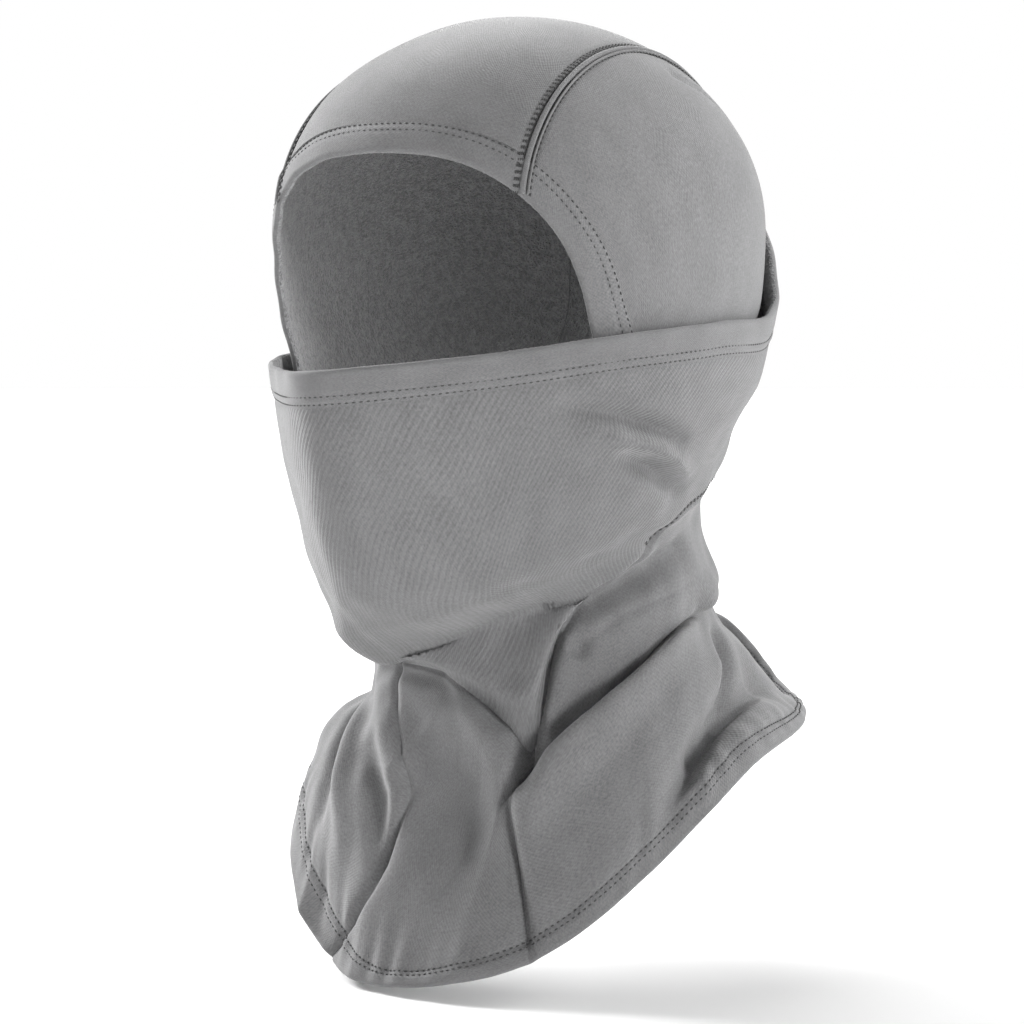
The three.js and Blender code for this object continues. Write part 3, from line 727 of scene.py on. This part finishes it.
def hem_wave(theta, share):
    """The bib hem's unevenness: gathers that fade to its edge, and its rows of stitches."""
    far = (share - hem_line(theta)) / (1 - hem_line(theta))
    row = sum(np.exp(-((far - w) / HEM_ROW_WIDE) ** 2) for w in BIB_ROWS)
    return (pucker(theta, share) + tube_wave(theta, share)) * (1 - 0.5 * far) - HEM_ROW_DIP * row


def tube_wave(theta, share):
    """Slow unevenness of the draped tube, in mm."""
    a = np.sin(7 * theta + 21 * share) * np.sin(17 * share + 1)
    b = np.sin(13 * theta - 31 * share + 2) * np.sin(5 * theta + 1)
    c = np.sin(23 * theta + 47 * share) * np.sin(29 * share - 9 * theta)
    return (0.5 * a + 0.4 * b + 0.25 * c) * smooth(share / 0.4)


def whole_turn(share):
    return np.full_like(share, 180.0)


def minus_turn(share):
    return np.full_like(share, -180.0)


def mask_hem():
    u, v = grid(*MASK_HEM_CELLS, ring=True)
    v = v ** TUBE_HEM_BUNCH
    theta, share = tube_grid(u, v, minus_turn, whole_turn, lambda t: t * 0, lambda t: t * 0 + MASK_HEM_S)
    points, normal = tube(theta, share)
    far = share / MASK_HEM_S
    row = sum(np.exp(-((far - w) / MASK_ROW_WIDE) ** 2) for w in MASK_ROWS)
    ruffle = MASK_HEM_RUFFLE * (1 - far) * np.sin(19 * theta + 1) * np.sin(8 * theta)
    return lay("mask_hem_fold", points, normal, HEM_THICK, HEM_LIFT, ring=True, folds="t", flush="b",
               wave=ruffle - HEM_ROW_DIP * row)


def mask_panel():
    u, v = grid(*MASK_CELLS, ring=True)
    theta, share = tube_grid(u, v, minus_turn, whole_turn,
                             lambda t: t * 0 + MASK_HEM_S - HEM_TUCK, neck_seam)
    points, normal = tube(theta, share)
    return lay("mask_panel_knit", points, normal, FABRIC, ring=True, seams="b", tucks="t",
               wave=tube_wave(theta, share))


def bib_piece(name, cells, start, stop, hem=False):
    u, v = grid(*cells)
    if hem:
        v = 1 - (1 - v) ** TUBE_HEM_BUNCH
        theta, share = tube_grid(u, v, start, stop, hem_line, lambda t: t * 0 + 1)
        points, normal = tube(theta, share)
        return lay(name, points, normal, HEM_THICK, HEM_LIFT, seams="lr", folds="b", flush="t",
                   wave=hem_wave(theta, share))
    theta, share = tube_grid(u, v, start, stop, lambda t: BIB_LINE(wrap_angle(t) / DEG),
                             lambda t: hem_line(t) + HEM_TUCK)
    points, normal = tube(theta, share)
    under = TUCK_DEEP * (1 - smooth((share - neck_seam(theta)) / TUCK))
    return lay(name, points, normal, FABRIC, seams="lr", tucks="b",
               wave=pucker(theta, share) + tube_wave(theta, share) - under)


def bib_panels(hem=False):
    """The bib's three panels, or their hems: front, left and right."""
    front = (SEAM_RIGHT, SEAM_LEFT)
    left = (SEAM_LEFT, whole_turn)
    right = (minus_turn, SEAM_RIGHT)
    names = ("bib_hem_front_fold", "bib_hem_left_fold", "bib_hem_right_fold") if hem else (
        "bib_front_knit", "bib_left_knit", "bib_right_knit")
    rows = BIB_HEM_CELL_ROWS if hem else BIB_CELL_ROWS
    return [bib_piece(name, (n, rows), *lines, hem=hem)
            for name, n, lines in zip(names, BIB_COLUMNS, (front, left, right))]


# ---- seams and stitches --------------------------------------------------------------
def strip(name, line, normal, wide, high, sink=0.35):
    """A rounded raised strip of cloth along a line, with closed ends."""
    n = len(line)
    along = unit(np.gradient(line, axis=0))
    across = unit(np.cross(along, normal))
    sides = STRIP_SIDES
    step, whole = STRIP_CLOTH[0] * MM, STRIP_CLOTH[1] * MM
    turn = np.arange(sides) * 2 * math.pi / sides
    swell = np.ones(n)
    swell[[0, -1]] = 0.3
    wide, high = np.broadcast_to(wide, n) * swell, np.broadcast_to(high, n) * swell
    flat = np.sign(np.cos(turn)) * np.abs(np.cos(turn)) ** 0.7
    rise = np.sin(turn) * high[:, None] / 2 + high[:, None] * (0.5 - sink)
    ring = across[:, None] * (flat * wide[:, None] / 2)[..., None] + normal[:, None] * rise[..., None]
    points = (line[:, None] + ring).reshape(-1, 3)
    faces = []
    uvs = []
    for i in range(n - 1):
        for k in range(sides):
            a, b = i * sides + k, i * sides + (k + 1) % sides
            faces.append([a, b, b + sides, a + sides])
            t0, t1 = i / (n - 1) * whole, (i + 1) / (n - 1) * whole
            w0, w1 = k * step, (k + 1) * step
            uvs += [(w0, t0), (w1, t0), (w1, t1), (w0, t1)]
    faces.append(list(range(sides))[::-1])
    faces.append([(n - 1) * sides + k for k in range(sides)])
    uvs += [(k * step, 0) for k in range(2 * sides)]
    obj = new_object(name, points, faces, uvs)
    if outward_volume(obj) < 0:
        obj.data.flip_normals()
    return obj


def crown_row(side, offset, lift, high=0.996, n=260):
    """A line beside the crown seam, from the face hem's fold to the nape: offset is in mm
    towards the ear. Gives the points and the ways out."""
    w = np.linspace(0.06, PANEL_START, 24)[:-1]
    x = np.full(len(w), CROWN_HALF)
    hem = face_edge(side * seam_phi(x, w), w)
    over = crown_line(np.full(n, CROWN_HALF * side), np.linspace(0, high, n))
    line = np.concatenate([hem, over])
    rise = np.concatenate([HEM_LIFT * (1 - smooth((w - 0.7) / 0.34)), np.zeros(n)])
    along = unit(np.gradient(line, axis=0))
    across = unit(np.cross(hood_normal(line), along))
    across = across * np.sign((across[:, :1] * side) + 1e-9)
    line = onto_hood(line + across * offset)
    normal = hood_normal(line)
    return line + normal * (lift + rise)[:, None], normal


def crown_ridges(side, name):
    made = []
    for part, offset, wide, high in CROWN_STRIPS:
        line, normal = crown_row(side, offset, 0.0)
        t = np.linspace(0, 1, len(line))
        narrow = mix(1, STRIP_NARROWS[0], smooth(t / STRIP_NARROWS[1]))
        made.append(strip("crown_seam_%s_%s" % (part, name), line, normal, wide * narrow, high))
    return made


def tube_row(share_at, lift, wave=None, low=-180.0, high=180.0, n=900):
    """A row round the tube at the share that share_at gives, and the ways out."""
    theta = np.linspace(low, high, n) * DEG
    share = share_at(theta)
    return tube(theta, share, lift + (wave(theta, share) if wave else 0.0))


def face_row(w, lift):
    z = np.linspace(HOOD_END_Z + 2, EYE_Z, 40)
    phi = np.linspace(-math.pi / 2, math.pi / 2, 260)
    w = w * PANEL_START
    right, left = face_side(z, w, -1), face_side(z[::-1], w, 1)
    line = np.concatenate([right[:-1], face_edge(phi + NUDGE, w), left[1:]])
    normal = hood_normal(line)
    return line + normal * lift, normal


def stitch_tree():
    """Geometry nodes: lays stitches along every line of a mesh, facing its "out" vectors."""
    tree = bpy.data.node_groups.new("Stitch run", "GeometryNodeTree")
    face = tree.interface
    face.new_socket("Geometry", in_out="INPUT", socket_type="NodeSocketGeometry")
    for name, value in (("Pitch", 0.0026), ("Stitch length", 0.0018), ("Stitch width", 0.0007)):
        socket = face.new_socket(name, in_out="INPUT", socket_type="NodeSocketFloat")
        socket.subtype = "DISTANCE"
        socket.default_value = value
    face.new_socket("Thread", in_out="INPUT", socket_type="NodeSocketMaterial")
    face.new_socket("Geometry", in_out="OUTPUT", socket_type="NodeSocketGeometry")
    make, link = tree.nodes.new, tree.links.new
    inputs, outputs = make("NodeGroupInput"), make("NodeGroupOutput")
    curve = make("GeometryNodeMeshToCurve")
    link(inputs.outputs["Geometry"], curve.inputs["Mesh"])
    spaced = make("GeometryNodeResampleCurve")
    spaced.mode = "LENGTH"
    link(curve.outputs[0], spaced.inputs["Curve"])
    link(inputs.outputs["Pitch"], spaced.inputs["Length"])
    stitch = make("GeometryNodeMeshUVSphere")
    stitch.inputs["Segments"].default_value = 6
    stitch.inputs["Rings"].default_value = 4
    stitch.inputs["Radius"].default_value = 0.5
    size = make("ShaderNodeCombineXYZ")
    for axis, name in (("X", "Stitch width"), ("Y", "Stitch width"), ("Z", "Stitch length")):
        link(inputs.outputs[name], size.inputs[axis])
    along = make("GeometryNodeInputTangent")
    out = make("GeometryNodeInputNamedAttribute")
    out.data_type = "FLOAT_VECTOR"
    out.inputs["Name"].default_value = "out"
    aim = make("FunctionNodeAlignRotationToVector")
    aim.axis = "Z"
    link(along.outputs[0], aim.inputs["Vector"])
    level = make("FunctionNodeAlignRotationToVector")
    level.axis = "X"
    level.pivot_axis = "Z"
    link(aim.outputs[0], level.inputs["Rotation"])
    link(out.outputs[0], level.inputs["Vector"])
    place = make("GeometryNodeInstanceOnPoints")
    link(spaced.outputs[0], place.inputs["Points"])
    link(stitch.outputs["Mesh"], place.inputs["Instance"])
    link(level.outputs[0], place.inputs["Rotation"])
    link(size.outputs[0], place.inputs["Scale"])
    real = make("GeometryNodeRealizeInstances")
    link(place.outputs[0], real.inputs[0])
    finish = make("GeometryNodeSetMaterial")
    link(real.outputs[0], finish.inputs["Geometry"])
    link(inputs.outputs["Thread"], finish.inputs["Material"])
    link(finish.outputs[0], outputs.inputs["Geometry"])
    return tree


def stitches(name, rows, thread, sizes):
    """One mesh of stitches along the given rows; each row is its points and the ways out."""
    points = np.concatenate([row[0] for row in rows]) * MM
    ways = np.concatenate([row[1] for row in rows])
    edges = []
    start = 0
    for line, _ in rows:
        edges += [(start + i, start + i + 1) for i in range(len(line) - 1)]
        start += len(line)
    mesh = bpy.data.meshes.new(name + "_lines")
    mesh.from_pydata(points.tolist(), edges, [])
    layer = mesh.attributes.new("out", "FLOAT_VECTOR", "POINT")
    layer.data.foreach_set("vector", ways.astype(np.float32).ravel())
    lines = bpy.data.objects.new(name + "_lines", mesh)
    bpy.context.scene.collection.objects.link(lines)
    tree = bpy.data.node_groups.get("Stitch run") or stitch_tree()
    modifier = lines.modifiers.new("Stitches", "NODES")
    modifier.node_group = tree
    values = {"Pitch": sizes.pitch, "Stitch length": sizes.length, "Stitch width": sizes.width,
              "Thread": thread}
    for item in tree.interface.items_tree:
        if item.in_out == "INPUT" and item.name in values:
            modifier[item.identifier] = values[item.name]
    ready = lines.evaluated_get(bpy.context.evaluated_depsgraph_get())
    plain = bpy.data.meshes.new_from_object(ready)
    plain.name = name
    bpy.data.objects.remove(lines)
    bpy.data.meshes.remove(mesh)
    if not len(plain.polygons):
        raise RuntimeError("no stitches were made for " + name)
    plain.polygons.foreach_set("use_smooth", np.ones(len(plain.polygons), bool))
    obj = bpy.data.objects.new(name, plain)
    bpy.context.scene.collection.objects.link(obj)
    return obj


# ---- materials -----------------------------------------------------------------------
def linear(level):
    """Linear value of a screen grey from 0 to 255."""
    c = level / 255
    return c / 12.92 if c <= 0.04045 else ((c + 0.055) / 1.055) ** 2.4


def knit_group():
    """Shader group: the loops and flecks of a fine knit, from a uv position in metres."""
    tree = bpy.data.node_groups.new("Knit face", "ShaderNodeTree")
    face = tree.interface
    face.new_socket("Position", in_out="INPUT", socket_type="NodeSocketVector")
    for name, value in (("Wale pitch", 0.0011), ("Rib pitch", 0.0019), ("Rib", 0.0), ("Fleck", 0.5)):
        socket = face.new_socket(name, in_out="INPUT", socket_type="NodeSocketFloat")
        socket.default_value = value
    face.new_socket("Shade", in_out="OUTPUT", socket_type="NodeSocketFloat")
    face.new_socket("Height", in_out="OUTPUT", socket_type="NodeSocketFloat")
    make, link = tree.nodes.new, tree.links.new
    inputs, outputs = make("NodeGroupInput"), make("NodeGroupOutput")

    def maths(kind, a, b):
        node = make("ShaderNodeMath")
        node.operation = kind
        for socket, value in zip(node.inputs, (a, b)):
            if isinstance(value, (int, float)):
                socket.default_value = value
            else:
                link(value, socket)
        return node.outputs[0]

    def noise(scale, detail, rough=0.6):
        node = make("ShaderNodeTexNoise")
        node.inputs["Scale"].default_value = scale
        node.inputs["Detail"].default_value = detail
        node.inputs["Roughness"].default_value = rough
        link(inputs.outputs["Position"], node.inputs["Vector"])
        return node.outputs["Fac"]

    split = make("ShaderNodeSeparateXYZ")
    link(inputs.outputs["Position"], split.inputs[0])
    x, y = split.outputs["X"], split.outputs["Y"]
    drift = maths("MULTIPLY", noise(22, 2), 0.012)
    # upright wales of loops, crossed by courses
    turns = maths("DIVIDE", 2 * math.pi, inputs.outputs["Wale pitch"])
    wales = maths("SINE", maths("MULTIPLY", maths("ADD", x, drift), turns), 0)
    courses = maths("SINE", maths("MULTIPLY", maths("ADD", y, drift), maths("MULTIPLY", turns, 0.8)), 0)
    loops = maths("MULTIPLY", wales, courses)
    # slanting ribs
    slant = maths("ADD", maths("MULTIPLY", x, 0.80), maths("MULTIPLY", y, 0.60))
    rib_turns = maths("DIVIDE", 2 * math.pi, inputs.outputs["Rib pitch"])
    slant = maths("ADD", slant, maths("MULTIPLY", drift, 0.5))
    ribs = maths("SINE", maths("MULTIPLY", slant, rib_turns), 0)
    ribs = maths("MULTIPLY", ribs, inputs.outputs["Rib"])
    fleck = maths("MULTIPLY", maths("SUBTRACT", noise(1000, 3, 0.7), 0.5), inputs.outputs["Fleck"])
    cloud = maths("MULTIPLY", maths("SUBTRACT", noise(75, 4), 0.5), 0.5)
    shade = maths("ADD", maths("ADD", 0.5, maths("MULTIPLY", ribs, 0.09)), maths("ADD", fleck, cloud))
    shade = maths("ADD", shade, maths("MULTIPLY", loops, 0.07))
    height = maths("ADD", maths("MULTIPLY", loops, 0.5), maths("ADD", maths("MULTIPLY", ribs, 0.8), fleck))
    link(shade, outputs.inputs["Shade"])
    link(height, outputs.inputs["Height"])
    return tree


def fresh_material(name):
    """A new material, its nodes, its link function and its shader."""
    material = bpy.data.materials.new(name)
    material.use_nodes = True
    nodes = material.node_tree.nodes
    return material, nodes, material.node_tree.links.new, nodes["Principled BSDF"]


def grey_ramp(nodes, dark, light, blue=1.0):
    """A ramp between two screen greys, a touch bluer where blue is over 1."""
    ramp = nodes.new("ShaderNodeValToRGB")
    for stop, grey in zip(ramp.color_ramp.elements, (dark, light)):
        level = linear(grey)
        stop.color = (level, level, level * blue, 1)
    return ramp


def cloth_material(name, dark, light, wale=0.0011, rib=0.0, fleck=0.8, bump=0.25, sheen=0.3, rough=0.9):
    """A knit finish between two screen greys."""
    material, nodes, link, shader = fresh_material(name)
    place = nodes.new("ShaderNodeUVMap")
    place.uv_map = "Cloth"
    knit = nodes.new("ShaderNodeGroup")
    knit.node_tree = bpy.data.node_groups.get("Knit face") or knit_group()
    knit.inputs["Wale pitch"].default_value = wale
    knit.inputs["Rib"].default_value = rib
    knit.inputs["Fleck"].default_value = fleck
    link(place.outputs[0], knit.inputs["Position"])
    ramp = grey_ramp(nodes, dark, light, 1.015)
    link(knit.outputs["Shade"], ramp.inputs["Fac"])
    link(ramp.outputs["Color"], shader.inputs["Base Color"])
    height = nodes.new("ShaderNodeBump")
    height.inputs["Strength"].default_value = bump
    height.inputs["Distance"].default_value = 0.0006
    link(knit.outputs["Height"], height.inputs["Height"])
    link(height.outputs["Normal"], shader.inputs["Normal"])
    shader.inputs["Roughness"].default_value = rough
    shader.inputs["Specular IOR Level"].default_value = 0.25
    shader.inputs["Sheen Weight"].default_value = sheen
    shader.inputs["Sheen Roughness"].default_value = 0.45
    return material


def fleece_material(name, dark, light):
    """The brushed inner face: a short clumped nap."""
    material, nodes, link, shader = fresh_material(name)
    place = nodes.new("ShaderNodeTexCoord")
    heights = []
    for scale, detail in ((330, 3), (1000, 2)):
        noise = nodes.new("ShaderNodeTexNoise")
        noise.inputs["Scale"].default_value = scale
        noise.inputs["Detail"].default_value = detail
        noise.inputs["Roughness"].default_value = 0.65
        link(place.outputs["Object"], noise.inputs["Vector"])
        heights.append(noise.outputs["Fac"])
    both = nodes.new("ShaderNodeMath")
    both.operation = "ADD"
    link(heights[0], both.inputs[0])
    link(heights[1], both.inputs[1])
    ramp = grey_ramp(nodes, dark, light, 1.02)
    ramp.color_ramp.elements[0].position = 0.40
    ramp.color_ramp.elements[1].position = 0.60
    half = nodes.new("ShaderNodeMath")
    half.operation = "MULTIPLY"
    half.inputs[1].default_value = 0.5
    link(both.outputs[0], half.inputs[0])
    link(half.outputs[0], ramp.inputs["Fac"])
    link(ramp.outputs["Color"], shader.inputs["Base Color"])
    height = nodes.new("ShaderNodeBump")
    height.inputs["Strength"].default_value = 1.0
    height.inputs["Distance"].default_value = 0.0025
    link(both.outputs[0], height.inputs["Height"])
    link(height.outputs["Normal"], shader.inputs["Normal"])
    shader.inputs["Roughness"].default_value = 1.0
    shader.inputs["Specular IOR Level"].default_value = 0.1
    shader.inputs["Sheen Weight"].default_value = 0.35
    shader.inputs["Sheen Roughness"].default_value = 0.6
    return material


def thread_material(name, dark, light):
    material, nodes, link, shader = fresh_material(name)
    place = nodes.new("ShaderNodeTexCoord")
    noise = nodes.new("ShaderNodeTexNoise")
    noise.inputs["Scale"].default_value = 2600
    link(place.outputs["Object"], noise.inputs["Vector"])
    ramp = grey_ramp(nodes, dark, light)
    link(noise.outputs["Fac"], ramp.inputs["Fac"])
    link(ramp.outputs["Color"], shader.inputs["Base Color"])
    shader.inputs["Roughness"].default_value = 0.7
    return material


def finish_of(kind):
    """The garment's materials, each made once."""
    made = bpy.data.materials.get(kind)
    if made:
        return made
    colours = bpy.context.scene.balaclava_colours
    outer, hem, inner, thread = colours.outer, colours.hem, colours.inner, colours.thread
    if kind == "Grey knit":
        return cloth_material(kind, outer - 24, outer + 24, fleck=1.3)
    if kind == "Ribbed grey knit":
        return cloth_material(kind, outer - 24, outer + 20, rib=0.9, fleck=1.1)
    if kind == "Hem knit":
        return cloth_material(kind, hem - 22, hem + 22, fleck=1.2)
    if kind == "Brushed fleece":
        return fleece_material(kind, inner - 18, inner + 14)
    return thread_material(kind, thread - 15, thread + 15)


def dress(obj, kind, inner=True):
    obj.data.materials.append(finish_of(kind))
    if inner:
        obj.data.materials.append(finish_of("Brushed fleece"))


# ---- settings ------------------------------------------------------------------------
class StitchSizes(bpy.types.PropertyGroup):
    pitch: bpy.props.FloatProperty(
        name="Stitch pitch", description="From one stitch to the next along a row",
        default=0.0024, min=0.001, unit="LENGTH")
    length: bpy.props.FloatProperty(
        name="Stitch length", description="Length of one stitch", default=0.0013, min=0.0005, unit="LENGTH")
    width: bpy.props.FloatProperty(
        name="Stitch width", description="Thickness of the thread in a stitch",
        default=0.0006, min=0.0002, unit="LENGTH")


class GarmentColours(bpy.types.PropertyGroup):
    outer: bpy.props.FloatProperty(
        name="Outer knit", description="Screen grey of the outer knit, 0 to 255", default=108,
        subtype="FACTOR", min=30, max=225)
    hem: bpy.props.FloatProperty(
        name="Hems", description="Screen grey of the folded hems, 0 to 255", default=107,
        subtype="FACTOR", min=30, max=225)
    inner: bpy.props.FloatProperty(
        name="Inner fleece", description="Screen grey of the brushed inner face, 0 to 255", default=128,
        subtype="FACTOR", min=30, max=225)
    thread: bpy.props.FloatProperty(
        name="Thread", description="Screen grey of the sewing thread, 0 to 255", default=58,
        subtype="FACTOR", min=20, max=225)
    floor: bpy.props.FloatVectorProperty(
        name="Floor", description="Colour of the floor", default=(0.88, 0.88, 0.88), size=3,
        subtype="COLOR")


# ---- operators -----------------------------------------------------------------------
def keep(obj, node, kind, body="hood"):
    """Finishes a piece: its material, its body and the CAD node that it stands for."""
    dress(obj, kind)
    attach(obj, body)
    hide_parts(node)
    return obj


class BALACLAVA_OT_hood(bpy.types.Operator):
    """Make the hood: the crown panel and the two side panels"""
    bl_idname = "balaclava.hood"
    bl_label = "Hood panels"

    def execute(self, context):
        keep(crown_panel(), "crown_panel", "Grey knit")
        keep(side_panel("side_panel_left_knit", 1), "side_panel_left", "Grey knit")
        keep(side_panel("side_panel_right_knit", -1), "side_panel_right", "Grey knit")
        return {"FINISHED"}


class BALACLAVA_OT_face_hem(bpy.types.Operator):
    """Make the folded hem round the face opening"""
    bl_idname = "balaclava.face_hem"
    bl_label = "Face hem"

    def execute(self, context):
        nodes = ("face_hem_top", "face_hem_left", "face_hem_right")
        for obj, node in zip(face_hems(), nodes):
            keep(obj, node, "Hem knit")
        return {"FINISHED"}


class BALACLAVA_OT_mask(bpy.types.Operator):
    """Make the mask over the nose and jaw, with its folded top edge"""
    bl_idname = "balaclava.mask"
    bl_label = "Mask"

    def execute(self, context):
        keep(mask_hem(), "mask_hem", "Hem knit", "mask")
        panel = mask_panel()
        dress(panel, "Ribbed grey knit")
        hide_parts("mask_panel")
        return {"FINISHED"}


class BALACLAVA_OT_bib(bpy.types.Operator):
    """Make the bib's panels and their hems"""
    bl_idname = "balaclava.bib"
    bl_label = "Bib"

    def execute(self, context):
        nodes = ("bib_front_panel", "bib_left_panel", "bib_right_panel")
        for obj, node in zip(bib_panels(), nodes):
            keep(obj, node, "Grey knit")
        nodes = ("bib_hem_front", "bib_hem_left", "bib_hem_right")
        for obj, node in zip(bib_panels(hem=True), nodes):
            keep(obj, node, "Hem knit")
        return {"FINISHED"}


class BALACLAVA_OT_seams(bpy.types.Operator):
    """Make the raised strips of the crown seams"""
    bl_idname = "balaclava.seams"
    bl_label = "Crown seam strips"

    def execute(self, context):
        for side, name in ((1, "left"), (-1, "right")):
            for obj in crown_ridges(side, name):
                dress(obj, "Hem knit", inner=False)
                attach(obj, "hood")
        return {"FINISHED"}


def stitch_rows():
    """Every thread node's rows of stitches."""
    rows = {}
    for side, name in ((1, "left"), (-1, "right")):
        rows["crown_seam_thread_" + name] = [
            crown_row(side, offset, CROWN_ROW_LIFT) for offset in CROWN_ROWS]
    rows["face_hem_thread"] = [face_row(w, lift) for w, lift in zip(FACE_ROWS, HEM_ROW_LIFTS)]
    rows["mask_hem_thread"] = [tube_row(lambda t, w=w: t * 0 + w * MASK_HEM_S, lift)
                               for w, lift in zip(MASK_ROWS, HEM_ROW_LIFTS)]
    rows["neck_seam_thread"] = [tube_row(lambda t, d=d: neck_seam(t) + d, lift, tube_wave, *NECK_ROW_SPAN)
                                for d, lift in NECK_ROWS]
    rows["bib_hem_thread"] = [tube_row(lambda t, w=w: mix(hem_line(t), 1.0, w), lift, hem_wave)
                              for w, lift in zip(BIB_ROWS, BIB_ROW_LIFTS)]
    return rows


class BALACLAVA_OT_stitches(bpy.types.Operator):
    """Sew the rows of stitches along the seams and hems"""
    bl_idname = "balaclava.stitches"
    bl_label = "Stitches"

    def execute(self, context):
        thread = finish_of("Thread")
        for node, rows in stitch_rows().items():
            obj = stitches(node + "_stitches", rows, thread, context.scene.balaclava_stitches)
            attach(obj, "mask" if node.startswith("mask") else "hood")
            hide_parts(node)
        return {"FINISHED"}


class BALACLAVA_OT_stage(bpy.types.Operator):
    """Make the floor, the lights and the camera"""
    bl_idname = "balaclava.stage"
    bl_label = "Floor, lights and camera"

    def execute(self, context):
        make_floor(context.scene)
        make_lights(context.scene)
        make_camera(context.scene)
        return {"FINISHED"}


def make_floor(scene):
    bpy.ops.mesh.primitive_circle_add(vertices=96, radius=30, fill_type="NGON",
                                      location=(0, 0, CAD_BOX[0][2] - 0.002))
    floor = bpy.context.object
    floor.name = "floor"
    material, _, _, shader = fresh_material("Floor paper")
    shader.inputs["Base Color"].default_value = (*scene.balaclava_colours.floor, 1)
    shader.inputs["Roughness"].default_value = 0.95
    shader.inputs["Specular IOR Level"].default_value = 0.1
    floor.data.materials.append(material)


def make_lights(scene):
    world = bpy.data.worlds.new("Studio")
    scene.world = world
    world.use_nodes = True
    nodes, link = world.node_tree.nodes, world.node_tree.links.new
    fill = nodes["Background"]
    fill.inputs["Strength"].default_value = FILL_STRENGTH
    seen = nodes.new("ShaderNodeBackground")
    seen.inputs["Strength"].default_value = 1.0
    fill.inputs["Color"].default_value = seen.inputs["Color"].default_value = (1, 1, 1, 1)
    path = nodes.new("ShaderNodeLightPath")
    both = nodes.new("ShaderNodeMixShader")
    link(path.outputs["Is Camera Ray"], both.inputs["Fac"])
    link(fill.outputs[0], both.inputs[1])
    link(seen.outputs[0], both.inputs[2])
    link(both.outputs[0], nodes["World Output"].inputs["Surface"])
    for name, azimuth, elevation, strength, spread in SUNS:
        light = bpy.data.lights.new(name, "SUN")
        light.energy = strength
        light.angle = spread * DEG
        lamp = bpy.data.objects.new(name, light)
        scene.collection.objects.link(lamp)
        a, e = azimuth * DEG, elevation * DEG
        toward = Vector((math.sin(a) * math.cos(e), -math.cos(a) * math.cos(e), math.sin(e)))
        lamp.rotation_euler = toward.to_track_quat("Z", "Y").to_euler()
        lamp.location = toward * 2
    place, radius, watts = OPENING_LIGHT
    light = bpy.data.lights.new("opening fill", "POINT")
    light.energy = watts
    light.shadow_soft_size = radius
    lamp = bpy.data.objects.new("opening fill", light)
    lamp.location = place
    lamp.visible_camera = False
    scene.collection.objects.link(lamp)


def make_camera(scene):
    a, e = VIEW_AZIMUTH * DEG, VIEW_ELEVATION * DEG
    right = Vector((math.cos(a), math.sin(a), 0))
    away = Vector((math.sin(a) * math.cos(e), -math.cos(a) * math.cos(e), math.sin(e)))
    lens = bpy.data.cameras.new("camera")
    lens.sensor_width = 36
    lens.lens = VIEW_LENS
    camera = bpy.data.objects.new("camera", lens)
    camera.location = Vector((0, 0, VIEW_HEIGHT)) - right * VIEW_ASIDE + away * VIEW_DISTANCE
    camera.rotation_euler = away.to_track_quat("Z", "Y").to_euler()
    scene.collection.objects.link(camera)
    scene.camera = camera
    scene.view_settings.view_transform = "Standard"


class BALACLAVA_OT_declare(bpy.types.Operator):
    """Bake the mask panel's placement into its mesh"""
    bl_idname = "balaclava.declare"
    bl_label = "Sheets and bodies"

    def execute(self, context):
        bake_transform(bpy.data.objects["mask_panel_knit"])
        return {"FINISHED"}


class BALACLAVA_PT_panel(bpy.types.Panel):
    """Lists the balaclava's steps and settings in the sidebar"""
    bl_idname = "BALACLAVA_PT_panel"
    bl_label = "Balaclava"
    bl_space_type = "VIEW_3D"
    bl_region_type = "UI"
    bl_category = "Balaclava"

    def draw(self, context):
        for group in (context.scene.balaclava_stitches, context.scene.balaclava_colours):
            for name in group.__annotations__:
                self.layout.prop(group, name)
        for step in STEPS:
            self.layout.operator(step.bl_idname)


STEPS = (BALACLAVA_OT_stage, BALACLAVA_OT_hood, BALACLAVA_OT_face_hem, BALACLAVA_OT_mask,
         BALACLAVA_OT_bib, BALACLAVA_OT_seams, BALACLAVA_OT_stitches, BALACLAVA_OT_declare)
CLASSES = (StitchSizes, GarmentColours, *STEPS, BALACLAVA_PT_panel)


def register():
    for cls in CLASSES:
        bpy.utils.register_class(cls)
    bpy.types.Scene.balaclava_stitches = bpy.props.PointerProperty(type=StitchSizes)
    bpy.types.Scene.balaclava_colours = bpy.props.PointerProperty(type=GarmentColours)


def unregister():
    del bpy.types.Scene.balaclava_colours
    del bpy.types.Scene.balaclava_stitches
    for cls in reversed(CLASSES):
        bpy.utils.unregister_class(cls)


def main():
    register()
    for step in STEPS:
        group, name = step.bl_idname.split(".")
        getattr(getattr(bpy.ops, group), name)()


if __name__ == "__main__":
    main()
